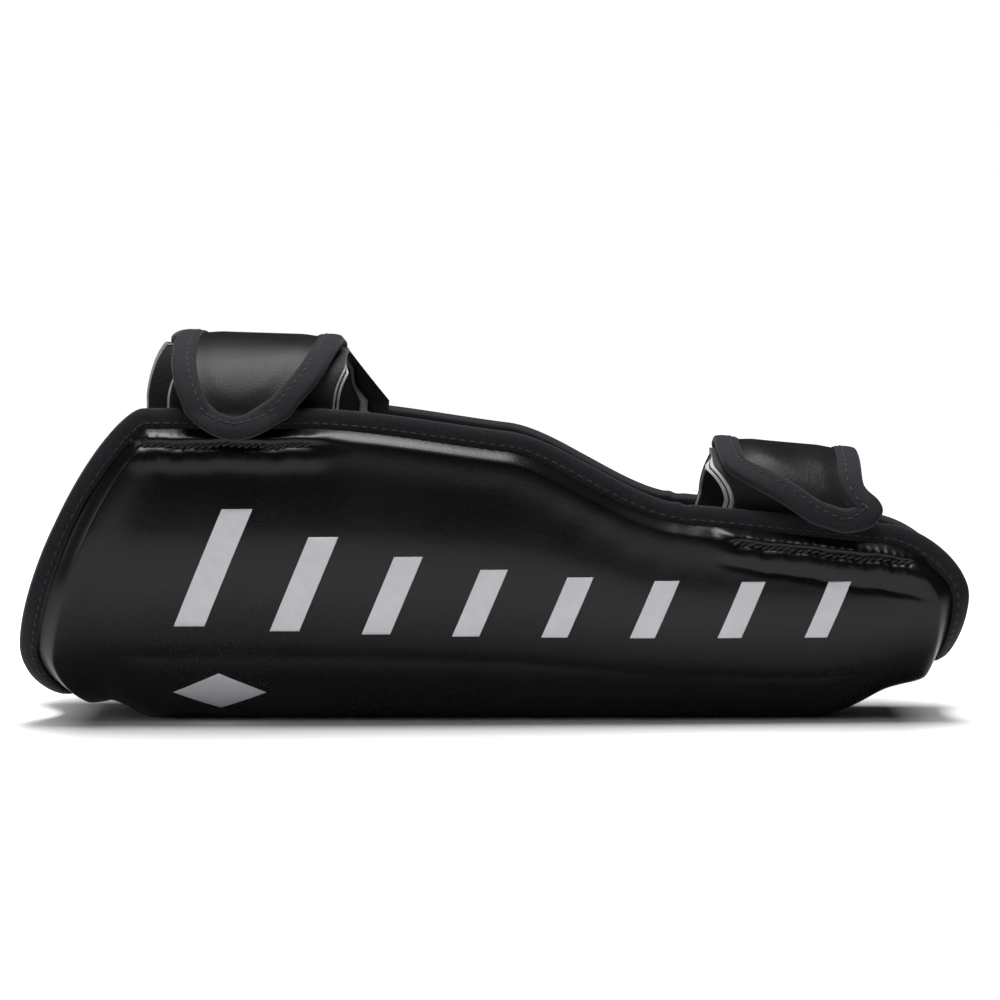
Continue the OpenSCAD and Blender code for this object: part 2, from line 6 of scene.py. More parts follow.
import bpy
import numpy as np
from mathutils import Vector
from mathutils.kdtree import KDTree
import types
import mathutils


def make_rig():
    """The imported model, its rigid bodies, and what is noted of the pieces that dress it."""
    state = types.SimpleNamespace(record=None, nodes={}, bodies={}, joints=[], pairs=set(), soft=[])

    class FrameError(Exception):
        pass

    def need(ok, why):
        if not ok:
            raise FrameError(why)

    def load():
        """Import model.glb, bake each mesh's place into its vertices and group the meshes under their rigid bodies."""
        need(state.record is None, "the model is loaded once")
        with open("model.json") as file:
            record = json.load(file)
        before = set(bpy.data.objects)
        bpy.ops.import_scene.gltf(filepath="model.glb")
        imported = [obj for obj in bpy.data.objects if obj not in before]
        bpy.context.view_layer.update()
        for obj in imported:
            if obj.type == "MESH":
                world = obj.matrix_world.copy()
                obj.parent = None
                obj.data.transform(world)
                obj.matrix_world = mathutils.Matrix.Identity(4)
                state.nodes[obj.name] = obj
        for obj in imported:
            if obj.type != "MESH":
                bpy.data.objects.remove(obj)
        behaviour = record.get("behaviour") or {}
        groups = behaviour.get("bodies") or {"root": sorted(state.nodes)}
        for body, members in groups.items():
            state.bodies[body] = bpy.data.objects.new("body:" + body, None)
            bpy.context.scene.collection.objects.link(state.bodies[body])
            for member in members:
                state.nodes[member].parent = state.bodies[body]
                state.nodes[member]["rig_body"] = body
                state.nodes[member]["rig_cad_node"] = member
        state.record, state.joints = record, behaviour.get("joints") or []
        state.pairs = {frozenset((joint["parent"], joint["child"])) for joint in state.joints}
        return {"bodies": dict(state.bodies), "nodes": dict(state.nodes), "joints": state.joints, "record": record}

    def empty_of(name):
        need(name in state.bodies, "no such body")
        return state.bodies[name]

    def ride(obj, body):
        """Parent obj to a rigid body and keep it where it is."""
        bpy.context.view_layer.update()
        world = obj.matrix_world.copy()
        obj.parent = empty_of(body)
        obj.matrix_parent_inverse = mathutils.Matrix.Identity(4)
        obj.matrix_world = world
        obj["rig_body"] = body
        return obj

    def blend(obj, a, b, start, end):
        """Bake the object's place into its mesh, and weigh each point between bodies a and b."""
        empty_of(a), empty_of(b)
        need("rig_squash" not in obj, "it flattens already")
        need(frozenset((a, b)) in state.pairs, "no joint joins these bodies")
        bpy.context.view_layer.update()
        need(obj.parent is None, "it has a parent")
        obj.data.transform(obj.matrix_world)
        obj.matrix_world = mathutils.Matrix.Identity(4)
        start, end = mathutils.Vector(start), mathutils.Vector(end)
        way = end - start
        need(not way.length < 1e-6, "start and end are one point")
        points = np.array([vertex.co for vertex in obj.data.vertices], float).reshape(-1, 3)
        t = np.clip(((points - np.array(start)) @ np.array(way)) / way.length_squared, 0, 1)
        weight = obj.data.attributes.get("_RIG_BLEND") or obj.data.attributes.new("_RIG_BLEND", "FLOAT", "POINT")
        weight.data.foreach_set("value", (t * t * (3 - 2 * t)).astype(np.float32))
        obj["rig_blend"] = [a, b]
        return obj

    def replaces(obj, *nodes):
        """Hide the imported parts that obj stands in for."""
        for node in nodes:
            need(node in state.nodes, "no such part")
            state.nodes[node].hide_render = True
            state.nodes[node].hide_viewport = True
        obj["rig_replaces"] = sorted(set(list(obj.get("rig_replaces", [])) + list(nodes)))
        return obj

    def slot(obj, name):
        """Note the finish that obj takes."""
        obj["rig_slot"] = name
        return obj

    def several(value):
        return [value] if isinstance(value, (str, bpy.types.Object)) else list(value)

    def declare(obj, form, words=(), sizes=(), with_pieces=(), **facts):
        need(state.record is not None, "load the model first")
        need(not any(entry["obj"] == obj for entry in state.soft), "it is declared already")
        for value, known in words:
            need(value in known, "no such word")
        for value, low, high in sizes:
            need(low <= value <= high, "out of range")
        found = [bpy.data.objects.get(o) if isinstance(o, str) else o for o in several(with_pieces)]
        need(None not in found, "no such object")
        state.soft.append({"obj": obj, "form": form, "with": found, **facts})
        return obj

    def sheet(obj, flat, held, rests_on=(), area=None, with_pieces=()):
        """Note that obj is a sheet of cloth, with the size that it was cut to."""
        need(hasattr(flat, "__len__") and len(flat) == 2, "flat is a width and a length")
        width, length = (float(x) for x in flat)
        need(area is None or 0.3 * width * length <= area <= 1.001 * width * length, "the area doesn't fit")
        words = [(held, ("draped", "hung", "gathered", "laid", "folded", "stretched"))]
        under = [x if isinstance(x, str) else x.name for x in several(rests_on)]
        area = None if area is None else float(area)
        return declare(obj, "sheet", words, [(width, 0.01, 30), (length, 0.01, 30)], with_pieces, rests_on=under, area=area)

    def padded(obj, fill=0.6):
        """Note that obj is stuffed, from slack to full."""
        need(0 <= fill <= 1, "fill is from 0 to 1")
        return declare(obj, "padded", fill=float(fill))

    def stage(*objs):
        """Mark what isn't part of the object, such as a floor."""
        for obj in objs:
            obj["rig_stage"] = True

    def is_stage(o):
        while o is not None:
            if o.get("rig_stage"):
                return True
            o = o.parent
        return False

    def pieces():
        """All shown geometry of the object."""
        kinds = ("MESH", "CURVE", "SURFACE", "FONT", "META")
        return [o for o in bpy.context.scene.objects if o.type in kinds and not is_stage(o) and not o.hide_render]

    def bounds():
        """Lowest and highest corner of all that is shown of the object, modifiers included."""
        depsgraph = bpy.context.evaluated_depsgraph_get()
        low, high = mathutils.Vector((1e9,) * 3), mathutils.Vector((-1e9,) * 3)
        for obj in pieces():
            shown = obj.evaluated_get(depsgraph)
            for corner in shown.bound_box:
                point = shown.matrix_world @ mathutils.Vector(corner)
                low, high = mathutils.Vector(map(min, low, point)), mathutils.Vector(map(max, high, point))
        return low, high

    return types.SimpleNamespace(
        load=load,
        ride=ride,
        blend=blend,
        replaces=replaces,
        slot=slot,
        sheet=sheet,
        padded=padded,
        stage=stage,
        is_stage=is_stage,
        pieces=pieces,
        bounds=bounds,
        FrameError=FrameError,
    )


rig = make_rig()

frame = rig.load()
cad_lo, cad_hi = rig.bounds()

MM = 0.001
rng = np.random.default_rng(7)


# ---------------------------------------------------------------- the trough's shape, as in the CAD
# Lengths are millimetres until a mesh is made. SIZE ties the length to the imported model's own box.
BOX_L = 0.3850
SIZE = (cad_hi.x - cad_lo.x) / BOX_L
GUARD_L = 384.0 * SIZE
KNEE_HALF, NARROWS, KNEE_H, LEAN, LEAN_H = 76.0, 28.0, 129.0, 5.0, 122
FRONT_T, SIDE_T, EDGE_T, COVER_T, LINING_T = 19.0, 13.0, 6.0, 1.2, 0.8
EDGE_PULL, ARC_SHARE = 3.0, 0.62
KNEE_TIP, ANKLE_TIP, KNEE_NOTCH, ANKLE_NOTCH = 0.35, 0.56, 12.0, 5.0
KNEE_CORNER, ANKLE_CORNER = 50.0, 34.0
BAR_A, BAR_B, BAR_ZONE, BAR_HALF, BAR_FLAT = -160.0, 152.0, 22.0, 0.34, 1.4
CORNER_A, CORNER_B = -GUARD_L / 2 + KNEE_CORNER, GUARD_L / 2 - ANKLE_CORNER


def smooth(t):
    c = np.clip(t, 0, 1)
    return c * c * (3 - 2 * c)


def hump(x, middle, width):
    return np.exp(-(((x - middle) / width) ** 2))


def rounded(h, p):
    return 1 - (1 - np.clip(h, 0, 1) ** p) ** (1 / p)


def edge_height(x):
    return (
        KNEE_H
        - 12 * smooth((x + 80) / 120)
        - 27 * smooth((x - 5) / 75)
        - 0.1 * np.maximum(0, x - 75)
    )


def front_height(x):
    return 7.0 - 3.0 * smooth((x + 100) / 230) + 22 * (np.maximum(0, x - 125) / 67) ** 2


def half_width(x):
    return KNEE_HALF - NARROWS * smooth((x + 100) / 330)


ARC_T = ARC_SHARE * math.pi / 2 / (ARC_SHARE * math.pi / 2 + 1 - ARC_SHARE)


def section_z(t):
    return np.where(
        t < ARC_T,
        ARC_SHARE * (1 - np.cos(np.minimum(t, ARC_T) / ARC_T * math.pi / 2)),
        ARC_SHARE + (1 - ARC_SHARE) * (t - ARC_T) / (1 - ARC_T),
    )


def section_y(t):
    return np.where(t < ARC_T, np.sin(np.minimum(t, ARC_T) / ARC_T * math.pi / 2), 1.0)


TIP_Z = [float(section_z(np.array(KNEE_TIP))), float(section_z(np.array(ANKLE_TIP)))]


def knee_x(t):
    return -GUARD_L / 2 + np.where(
        t < KNEE_TIP,
        KNEE_NOTCH * (1 - smooth(t / KNEE_TIP)),
        KNEE_CORNER * rounded((section_z(t) - TIP_Z[0]) / (1 - TIP_Z[0]), 1.4),
    )


def ankle_x(t):
    return GUARD_L / 2 - np.where(
        t < ANKLE_TIP,
        ANKLE_NOTCH * (1 - smooth(t / ANKLE_TIP)),
        ANKLE_CORNER * rounded((section_z(t) - TIP_Z[1]) / (1 - TIP_Z[1]), 2.1),
    )


def stack(x, y, z):
    return np.stack(np.broadcast_arrays(x, y, z), -1)


def place(u, v):
    t = np.abs(v)
    x = knee_x(t) * (1 - u) + ankle_x(t) * u
    low = front_height(x)
    lean = LEAN * (edge_height(x) - low) / LEAN_H * (np.maximum(0, t - ARC_T) / (1 - ARC_T)) ** 2
    y = np.sign(v) * (half_width(x) * section_y(t) - lean)
    return stack(x, y, low + (edge_height(x) - low) * section_z(t))


def unit(a):
    return a / np.maximum(np.linalg.norm(a, axis=-1, keepdims=True), 1e-9)


def outward(u, v, step=0.002):
    du = place(np.minimum(1, u + step), v) - place(np.maximum(0, u - step), v)
    dv = place(u, np.minimum(1, v + step)) - place(u, np.maximum(-1, v - step))
    return -unit(np.cross(du, dv))


def half_length(x):
    return 1.25 * (edge_height(x) - front_height(x)) + 18


# The edge all the way round, for distances from it and lengths along it.
def edge_loop(n):
    """(u, v) at n places round the edge."""
    along = (np.arange(n) + 0.5) / n * 4
    side = np.floor(along).astype(int)
    f = along - side
    ease = (1 - np.cos(math.pi * f)) / 2
    u = np.choose(side, [ease, np.ones(n), 1 - ease, np.zeros(n)])
    return u, np.choose(side, [-np.ones(n), 2 * f - 1, np.ones(n), 1 - 2 * f])


EDGE_N = 2600
EDGE_U, EDGE_V = edge_loop(EDGE_N)
EDGE_TREE = KDTree(EDGE_N)
for edge_index, edge_point in enumerate(place(EDGE_U, EDGE_V)):
    EDGE_TREE.insert(edge_point, edge_index)
EDGE_TREE.balance()


def edge_distance(points):
    flat = points.reshape(-1, 3)
    return np.array([EDGE_TREE.find(p)[2] for p in flat]).reshape(points.shape[:-1])


def pressed(d):
    """1 where the edge tape presses the padding flat, 0 past the shoulder."""
    return 1 - smooth((d - 8.5) / 16.5)


def thickness(v, k):
    return (SIDE_T + (FRONT_T - SIDE_T) * (1 - smooth(np.abs(v) / 0.6))) * (1 - k) + EDGE_T * k


def bar_profile(a, power=1.7):
    """A raised face with a crease at its foot and a round shoulder."""
    c = np.clip(a, 0, 1)
    return 0.55 * (1 - (1 - c) ** power) + 0.45 * smooth(c)


def bar_rise(u, v):
    x = place(u, v)[..., 0]
    across = bar_profile((1 - np.abs(v) / BAR_HALF) / 0.62)
    along = bar_profile((x - BAR_A) / 20) * smooth((BAR_B + 11 - x) / 36)
    return (front_height(np.maximum(x, BAR_A)) + BAR_FLAT) * across * along


# Soft uneven swellings, the same every run.
WAVES = rng.normal(size=(14, 3)) / np.array([46.0, 30.0, 26.0])
PHASES = rng.uniform(0, 6.28, len(WAVES))


def swell(p, scale=1.0):
    total = 0
    for wave, phase in zip(WAVES, PHASES, strict=True):
        total = total + np.sin(p @ (wave * scale) + phase)
    return total / 3.7


# The sewn lines on each side: from x, to x, how far below the edge, and how fast that grows.
SEAMS = [(-146.0, -72.0, 15.2, 0.0), (95.0, 172.0, 14.6, 0.03)]


def seam_window(x, a, b, ramp=5.0):
    return smooth((x - a) / ramp) * smooth((b - x) / ramp)


def seam_line(x, a, depth, drop):
    """How far below the edge a sewn line runs, a little unevenly."""
    return depth + drop * (x - a) + 0.35 * np.sin(x / 5.3) + 0.2 * np.sin(x / 2.1)


def deep(u, v, d):
    """Places that far out of the plain shape."""
    return place(u, v) + outward(u, v) * np.asarray(d)[..., None]


def cover_shape(u, v):
    """How far the cover stands off the plain shape: shoulders, seams, puckers, creases, the bar."""
    p = place(u, v)
    x, t = p[..., 0], np.abs(v)
    d = edge_distance(p)
    below = (1 - t) * half_length(x)
    r = np.clip((d - 6.3) / 6.4, 0, 1)
    g = 0.65 * r + 0.35 * smooth(r)
    out = -EDGE_PULL * (1 - g) + 2.1 * g * hump(np.maximum(d, 12.7), 12.7, 9)
    for i, (a, b, depth, drop) in enumerate(SEAMS):
        on = seam_window(x, a, b)
        wide = seam_window(x, a - 9, b + 9, 12)
        line = seam_line(x, a, depth, drop)
        ripple = np.sin(2 * math.pi * x / 3.5 + 1.2 * np.sin(x / 9.0)) + 0.8 * np.sin(x * 0.61 + 1)
        out = out - on * (1.7 + 0.2 * np.sin(x * 0.83)) * hump(below, line, 1.5)
        out = out + wide * (0.7 + 0.25 * np.sin(x / 6.7)) * hump(below, line - 3.2, 2.6)
        out = out + wide * 0.75 * hump(below, line + 6.0, 3.6)
        out = out + on * 0.16 * ripple * hump(below, line - 2.5, 2.5)
        out = out + on * 0.14 * ripple * hump(below, line + 2.7, 2.4)
        # Creases that run off the ends of the seam, and one below the ankle's.
        for end, way in ((a, -1), (b, 1)):
            off = way * (x - end)
            fan = smooth((off + 6) / 7) * smooth((17 - off) / 14)
            out = out - 0.5 * fan * hump(below, line + way * 0.12 * off - 0.15 * off, 2.2)
            out = out + 0.45 * fan * hump(below, line - 3.6 - 0.2 * off, 2.2)
            out = out - 0.3 * hump(off, 6.5, 3.0) * hump(below, line - 3.0, 4.5)
        out = out - i * wide * 0.7 * hump(below, line + 9.5 + 0.06 * (x - a), 1.9)
    # The side's foam meets the bar in a shallow valley, and the cover is never quite even.
    quiet = smooth((d - 10) / 20)
    out = out - 0.5 * hump(t, BAR_HALF + 0.012, 0.02) * seam_window(x, BAR_A - 6, BAR_B + 6, 20)
    out = out + 0.11 * quiet * swell(p) + 0.05 * quiet * swell(p, 2.3)
    # Drag lines across the bend where the edge dips.
    drag = hump(x, 52, 34) * hump(below, 20, 12)
    out = out + 0.10 * drag * np.sin(x * 0.42 + below * 0.16)
    return out


def cover_points(u, v, lift=0.0):
    q = deep(u, v, cover_shape(u, v) + bar_rise(u, v) + lift)
    q[..., 2] = np.maximum(q[..., 2], -np.minimum(lift, 0))
    return q


def inner_points(u, v, off=0.0):
    """The lining's limb side; off goes back into the padding."""
    p = place(u, v)
    d = edge_distance(p)
    k = pressed(d)
    out = -EDGE_PULL * k - thickness(v, k) + off
    return deep(u, v, out + 0.35 * smooth((d - 14) / 20) * swell(p, 1.4))


# ---------------------------------------------------------------- mesh makers
def finish_mesh(name, verts, faces, uv=None, which=None):
    """which is a share from 0 to 1 at each point, for colours that differ from thread to thread."""
    mesh = bpy.data.meshes.new(name)
    mesh.from_pydata((np.asarray(verts).reshape(-1, 3) * MM).tolist(), [], faces)
    if uv is not None:
        layer = mesh.uv_layers.new(name="UVMap")
        loops = np.zeros(len(mesh.loops), int)
        mesh.loops.foreach_get("vertex_index", loops)
        layer.data.foreach_set("uv", np.asarray(uv, float).reshape(-1, 2)[loops].ravel())
    if which is not None:
        mark = mesh.attributes.new("which", "FLOAT", "POINT")
        mark.data.foreach_set("value", np.asarray(which, np.float32))
    mesh.validate()
    mesh.shade_smooth()
    mesh.update()
    obj = bpy.data.objects.new(name, mesh)
    bpy.context.scene.collection.objects.link(obj)
    return obj


def grid_faces(rows, cols, start, flip):
    i, j = np.meshgrid(np.arange(rows - 1), np.arange(cols - 1), indexing="ij")
    a = (start + i * cols + j).ravel()
    quad = np.stack([a, a + 1, a + cols + 1, a + cols], 1)
    return (quad[:, ::-1] if flip else quad).tolist()


def between(name, top, under, uv=None, flip=False):
    """A closed sheet between two matching grids of points."""
    rows, cols = top.shape[:2]
    n = rows * cols
    faces = grid_faces(rows, cols, 0, flip) + grid_faces(rows, cols, n, not flip)
    rim = (
        list(range(cols))
        + [i * cols + cols - 1 for i in range(1, rows)]
        + [(rows - 1) * cols + j for j in range(cols - 2, -1, -1)]
        + [i * cols for i in range(rows - 2, 0, -1)]
    )
    for k, a in enumerate(rim):
        b = rim[(k + 1) % len(rim)]
        faces.append([a, n + a, n + b, b] if not flip else [b, n + b, n + a, a])
    pts = np.concatenate([top.reshape(-1, 3), under.reshape(-1, 3)])
    if uv is not None:
        uv = np.concatenate([uv.reshape(-1, 2)] * 2)
    return finish_mesh(name, pts, faces, uv)


def sweep(name, rings, loop, uv_len, uv_across):
    """Closed rings joined along a path: one loop, or a length with capped ends."""
    n, m = rings.shape[:2]
    faces = []
    for i in range(n if loop else n - 1):
        a0, b0 = i * m, ((i + 1) % n) * m
        for j in range(m):
            k = (j + 1) % m
            faces.append([a0 + j, b0 + j, b0 + k, a0 + k])
    if not loop:
        half = m // 2
        for j in range(half - 1):
            faces.append([j, j + 1, m - 2 - j, m - 1 - j])
            e = (n - 1) * m
            faces.append([e + m - 1 - j, e + m - 2 - j, e + j + 1, e + j])
    uv = np.stack(np.broadcast_arrays(uv_len[:, None], uv_across[None, :]), -1)
    return finish_mesh(name, rings.reshape(-1, 3), faces, uv)


def lengths(points):
    """How far along a line of points each one is."""
    steps = np.linalg.norm(np.diff(points, axis=0), axis=1)
    return np.concatenate([[0], np.cumsum(steps)])


def cut_size(grid):
    """The flat size a grid of points was cut to, and its area, in metres."""
    across = [lengths(row)[-1] for row in grid]
    down = lengths(grid[:, grid.shape[1] // 2])[-1]
    a, b = grid[1:, 1:] - grid[:-1, :-1], grid[1:, :-1] - grid[:-1, 1:]
    area = np.linalg.norm(np.cross(a, b), axis=-1).sum() / 2
    return {"flat": (max(across) * MM, down * MM), "area": float(area) * MM * MM}


def capsules(name, centres, ways, ups, length, radius, flatten=0.75, sides=7):
    """A stitch at each centre: a short round-ended thread lying along its way."""
    ways, ups = unit(ways), unit(ups)
    across = unit(np.cross(ups, ways))
    ups = np.cross(ways, across)
    ring_at = np.array([-0.5, -0.46, -0.34, -0.12, 0.12, 0.34, 0.46, 0.5])
    ring_r = np.array([0.12, 0.55, 0.9, 1.0, 1.0, 0.9, 0.55, 0.12])
    sink = np.array([-0.75, -0.45, -0.1, 0.08, 0.08, -0.1, -0.45, -0.75])
    ang = np.arange(sides) / sides * 2 * math.pi
    k = len(ring_at)
    length = np.broadcast_to(length, (len(centres),))
    verts = (
        centres[:, None, None, :]
        + ways[:, None, None, :] * (ring_at[None, :, None, None] * length[:, None, None, None])
        + across[:, None, None, :] * (ring_r[:, None] * np.cos(ang) * radius)[None, :, :, None]
        + ups[:, None, None, :]
        * (ring_r[:, None] * np.sin(ang) * radius * flatten + sink[:, None] * radius)[None, :, :, None]
    )
    faces = []
    for s in range(len(centres)):
        base = s * k * sides
        for i in range(k - 1):
            for j in range(sides):
                a, b = base + i * sides + j, base + i * sides + (j + 1) % sides
                faces.append([a, a + sides, b + sides, b])
        faces.append([base + j for j in range(sides)])
        faces.append([base + (k - 1) * sides + j for j in range(sides - 1, -1, -1)])
    which = np.repeat(rng.uniform(0, 1, len(centres)), k * sides)
    return finish_mesh(name, verts.reshape(-1, 3), faces, which=which)


def spaced(points, pitch, first=0.5):
    """Places every pitch along a polyline, as fractional indices."""
    s = lengths(points)
    at = np.arange(first * pitch, s[-1] - first * pitch, pitch)
    return np.interp(at, s, np.arange(len(s)))


def resampled(rows, s, at):
    """Rows that are given at lengths s along a line, at other lengths."""
    return np.stack([np.interp(at, s, column) for column in rows.T], 1)


def sample(array, idx):
    """Rows of an array at fractional indices."""
    lo = np.clip(np.floor(idx).astype(int), 0, len(array) - 2)
    f = (idx - lo)[:, None]
    return array[lo] * (1 - f) + array[lo + 1] * f


# ---------------------------------------------------------------- materials
class Paint:
    """A small helper over one material's nodes."""

    def __init__(self, name):
        self.mat = bpy.data.materials.new(name)
        self.mat.use_nodes = True
        self.tree = self.mat.node_tree
        self.bsdf = self.tree.nodes["Principled BSDF"]
        self.object = self.add("ShaderNodeTexCoord").outputs["Object"]
        self.uv = self.add("ShaderNodeUVMap").outputs["UV"]

    def add(self, kind, **props):
        node = self.tree.nodes.new(kind)
        for key, value in props.items():
            setattr(node, key, value)
        return node

    def link(self, a, b):
        self.tree.links.new(a, b)

    def put(self, socket, value):
        if isinstance(value, bpy.types.NodeSocket):
            self.link(value, socket)
        else:
            socket.default_value = value

    def math(self, op, a, b=0.0, c=0.0):
        node = self.add("ShaderNodeMath", operation=op)
        for socket, value in zip(node.inputs, (a, b, c), strict=False):
            self.put(socket, value)
        return node.outputs[0]

    def noise(self, size_mm, detail=3.0, where=None, rough=0.55):
        node = self.add("ShaderNodeTexNoise")
        self.link(where or self.object, node.inputs["Vector"])
        node.inputs["Scale"].default_value = 1000.0 / size_mm
        node.inputs["Detail"].default_value = detail
        node.inputs["Roughness"].default_value = rough
        return node.outputs["Fac"]

    def cells(self, size_mm, feature="F1", where=None, random=1.0):
        node = self.add("ShaderNodeTexVoronoi", feature=feature)
        self.link(where or self.object, node.inputs["Vector"])
        node.inputs["Scale"].default_value = 1000.0 / size_mm
        node.inputs["Randomness"].default_value = random
        return node.outputs["Distance"]

    def level(self, value, lo, hi, out_lo=0.0, out_hi=1.0, curve="SMOOTHSTEP"):
        node = self.add("ShaderNodeMapRange", interpolation_type=curve)
        for socket, x in zip(node.inputs, (value, lo, hi, out_lo, out_hi), strict=False):
            self.put(socket, x)
        return node.outputs[0]

    def mix(self, fac, a, b):
        node = self.add("ShaderNodeMix", data_type="RGBA")
        self.put(node.inputs[0], fac)
        for socket, value in ((node.inputs[6], a), (node.inputs[7], b)):
            self.put(socket, (*value, 1) if isinstance(value, tuple) else value)
        return node.outputs[2]

    def axis(self, which, where=None):
        node = self.add("ShaderNodeSeparateXYZ")
        self.link(where or self.uv, node.inputs[0])
        return node.outputs[which]

    def mark(self, name):
        return self.add("ShaderNodeAttribute", attribute_name=name).outputs["Fac"]

    def wave(self, value, period_mm, phase=0.0):
        turn = self.math("MULTIPLY_ADD", value, 2 * math.pi / period_mm, phase)
        return self.math("MULTIPLY_ADD", self.math("SINE", turn), 0.5, 0.5)

    def bumps(self, *layers):
        """Layers of (height, distance in mm), each on the one before."""
        last = None
        for height, distance in layers:
            node = self.add("ShaderNodeBump")
            node.inputs["Distance"].default_value = distance * MM
            self.put(node.inputs["Height"], height)
            if last is not None:
                self.link(last, node.inputs["Normal"])
            last = node.outputs[0]
        self.link(last, self.bsdf.inputs["Normal"])

    def set(self, **values):
        names = {
            "colour": "Base Color",
            "rough": "Roughness",
            "spec": "Specular IOR Level",
            "sheen": "Sheen Weight",
            "sheen_rough": "Sheen Roughness",
            "sheen_tint": "Sheen Tint",
            "glow": "Emission Color",
            "glow_strength": "Emission Strength",
        }
        for key, value in values.items():
            if isinstance(value, tuple):
                value = (*value, 1)
            self.put(self.bsdf.inputs[names[key]], value)
        return self.mat


def leather(name, dark, light, grain_mm, grain_depth, rough, spec):
    p = Paint(name)
    cells = p.cells(grain_mm, "SMOOTH_F1")
    fine = p.noise(grain_mm * 0.45, 2)
    broad = p.noise(38, 3)
    pits = p.level(cells, 0.15, 0.75)
    p.bumps((p.noise(9, 2), 0.10), (pits, grain_depth), (fine, grain_depth * 0.35))
    wear = p.level(broad, 0.35, 0.72)
    col = p.mix(wear, dark, light)
    r = p.math("ADD", p.math("MULTIPLY_ADD", broad, 0.16, rough - 0.08), p.math("MULTIPLY", pits, -0.05))
    return p.set(colour=col, rough=r, spec=spec)


def tape_paint(name, dark, light, uv_mm=0.75):
    """Woven tape: fine ribs across it, broken into a plain weave, with lint."""
    p = Paint(name)
    along, across = p.axis(0), p.axis(1)
    warp = p.wave(across, uv_mm * MM)
    weft = p.wave(along, uv_mm * MM * 0.8, 1.2)
    weave = p.math("MULTIPLY", warp, weft)
    lint = p.noise(1.6, 4)
    p.bumps((p.noise(5, 3), 0.12), (weave, 0.12), (lint, 0.05))
    shade = p.math("MULTIPLY_ADD", weave, 0.5, p.math("MULTIPLY", p.level(lint, 0.3, 0.8), 0.6))
    return p.set(
        colour=p.mix(shade, dark, light), rough=0.82, spec=0.25, sheen=0.18, sheen_rough=0.45,
        sheen_tint=(0.7, 0.74, 0.85),
    )


def cloth_paint(name, dark, light, size_mm, depth, rough=0.88, sheen=0.1):
    p = Paint(name)
    along, across = p.axis(0), p.axis(1)
    weave = p.math("MULTIPLY", p.wave(across, size_mm * MM), p.wave(along, size_mm * MM * 1.15))
    fuzz = p.noise(size_mm * 1.4, 5, rough=0.7)
    p.bumps((p.noise(14, 2), 0.2), (weave, depth), (fuzz, depth * 1.1))
    shade = p.math("MULTIPLY_ADD", weave, 0.45, p.math("MULTIPLY", p.level(fuzz, 0.25, 0.8), 0.6))
    return p.set(colour=p.mix(shade, dark, light), rough=rough, spec=0.3, sheen=sheen, sheen_rough=0.5)


def elastic_paint(name, dark, light):
    p = Paint(name)
    along, across = p.axis(0), p.axis(1)
    ribs = p.wave(across, 1.3 * MM)
    picks = p.wave(along, 0.9 * MM)
    fuzz = p.noise(1.1, 4)
    p.bumps((p.noise(12, 2), 0.15), (ribs, 0.16), (picks, 0.06), (fuzz, 0.05))
    shade = p.math("MULTIPLY_ADD", ribs, 0.6, p.math("MULTIPLY", fuzz, 0.4))
    return p.set(colour=p.mix(shade, dark, light), rough=0.8, spec=0.3, sheen=0.12, sheen_rough=0.5)


def hook_paint(name):
    p = Paint(name)
    dots = p.cells(1.35, "F1", p.uv, 0.15)
    heads = p.level(dots, 0.46, 0.2)
    p.bumps((p.noise(8, 2), 0.1), (heads, 0.35))
    return p.set(colour=p.mix(heads, (0.006, 0.006, 0.007), (0.03, 0.03, 0.032)), rough=0.55, spec=0.4)


def loop_paint(name, dark, light):
    p = Paint(name)
    fuzz = p.noise(1.0, 6, rough=0.75)
    curls = p.cells(1.5, "SMOOTH_F1")
    p.bumps((p.noise(10, 2), 0.3), (curls, 0.3), (fuzz, 0.25))
    return p.set(colour=p.mix(p.level(fuzz, 0.3, 0.75), dark, light), rough=0.95, spec=0.15, sheen=0.25,
                 sheen_rough=0.6)


def foam_paint(name, dark, light):
    p = Paint(name)
    cells = p.cells(1.1)
    p.bumps((cells, 0.2), (p.noise(6, 3), 0.3))
    return p.set(colour=p.mix(cells, dark, light), rough=0.9, spec=0.2)


def print_paint(name):
    p = Paint(name)
    scuff = p.noise(7, 5, rough=0.7)
    fine = p.cells(0.9, "SMOOTH_F1")
    p.bumps((p.noise(9, 2), 0.08), (fine, 0.02))
    col = p.mix(p.level(scuff, 0.25, 0.85), (0.62, 0.62, 0.66), (0.70, 0.70, 0.74))
    return p.set(colour=col, rough=p.math("MULTIPLY_ADD", scuff, 0.15, 0.5), spec=0.3)


def thread_paint(name, dark, light):
    p = Paint(name)
    twist = p.noise(0.7, 3)
    p.bumps((twist, 0.12))
    shade = p.math("MULTIPLY_ADD", p.mark("which"), 0.5, p.math("MULTIPLY", twist, 0.5))
    return p.set(colour=p.mix(shade, dark, light), rough=0.6, spec=0.4, sheen=0.1)


COVER = leather("cover_leather", (0.0024, 0.0024, 0.0026), (0.0040, 0.0040, 0.0043), 0.75, 0.010, 0.32, 0.31)
STRAP = leather("strap_leather", (0.0052, 0.005, 0.0057), (0.0085, 0.0082, 0.0092), 0.9, 0.03, 0.44, 0.15)
TAPE = tape_paint("edge_tape", (0.005, 0.0054, 0.0066), (0.013, 0.014, 0.0175))
LINING = cloth_paint("lining_cloth", (0.008, 0.008, 0.009), (0.022, 0.022, 0.024), 0.8, 0.08, 0.75, 0.15)
ELASTIC = elastic_paint("elastic", (0.008, 0.008, 0.009), (0.022, 0.022, 0.025))
PALE = cloth_paint("pale_lining", (0.40, 0.40, 0.42), (0.60, 0.60, 0.62), 0.7, 0.06)
LOOP = loop_paint("loop_cloth", (0.006, 0.006, 0.007), (0.02, 0.02, 0.022))
HOOK = hook_paint("hook_tape")
FIRM = foam_paint("firm_foam", (0.03, 0.03, 0.032), (0.06, 0.06, 0.064))
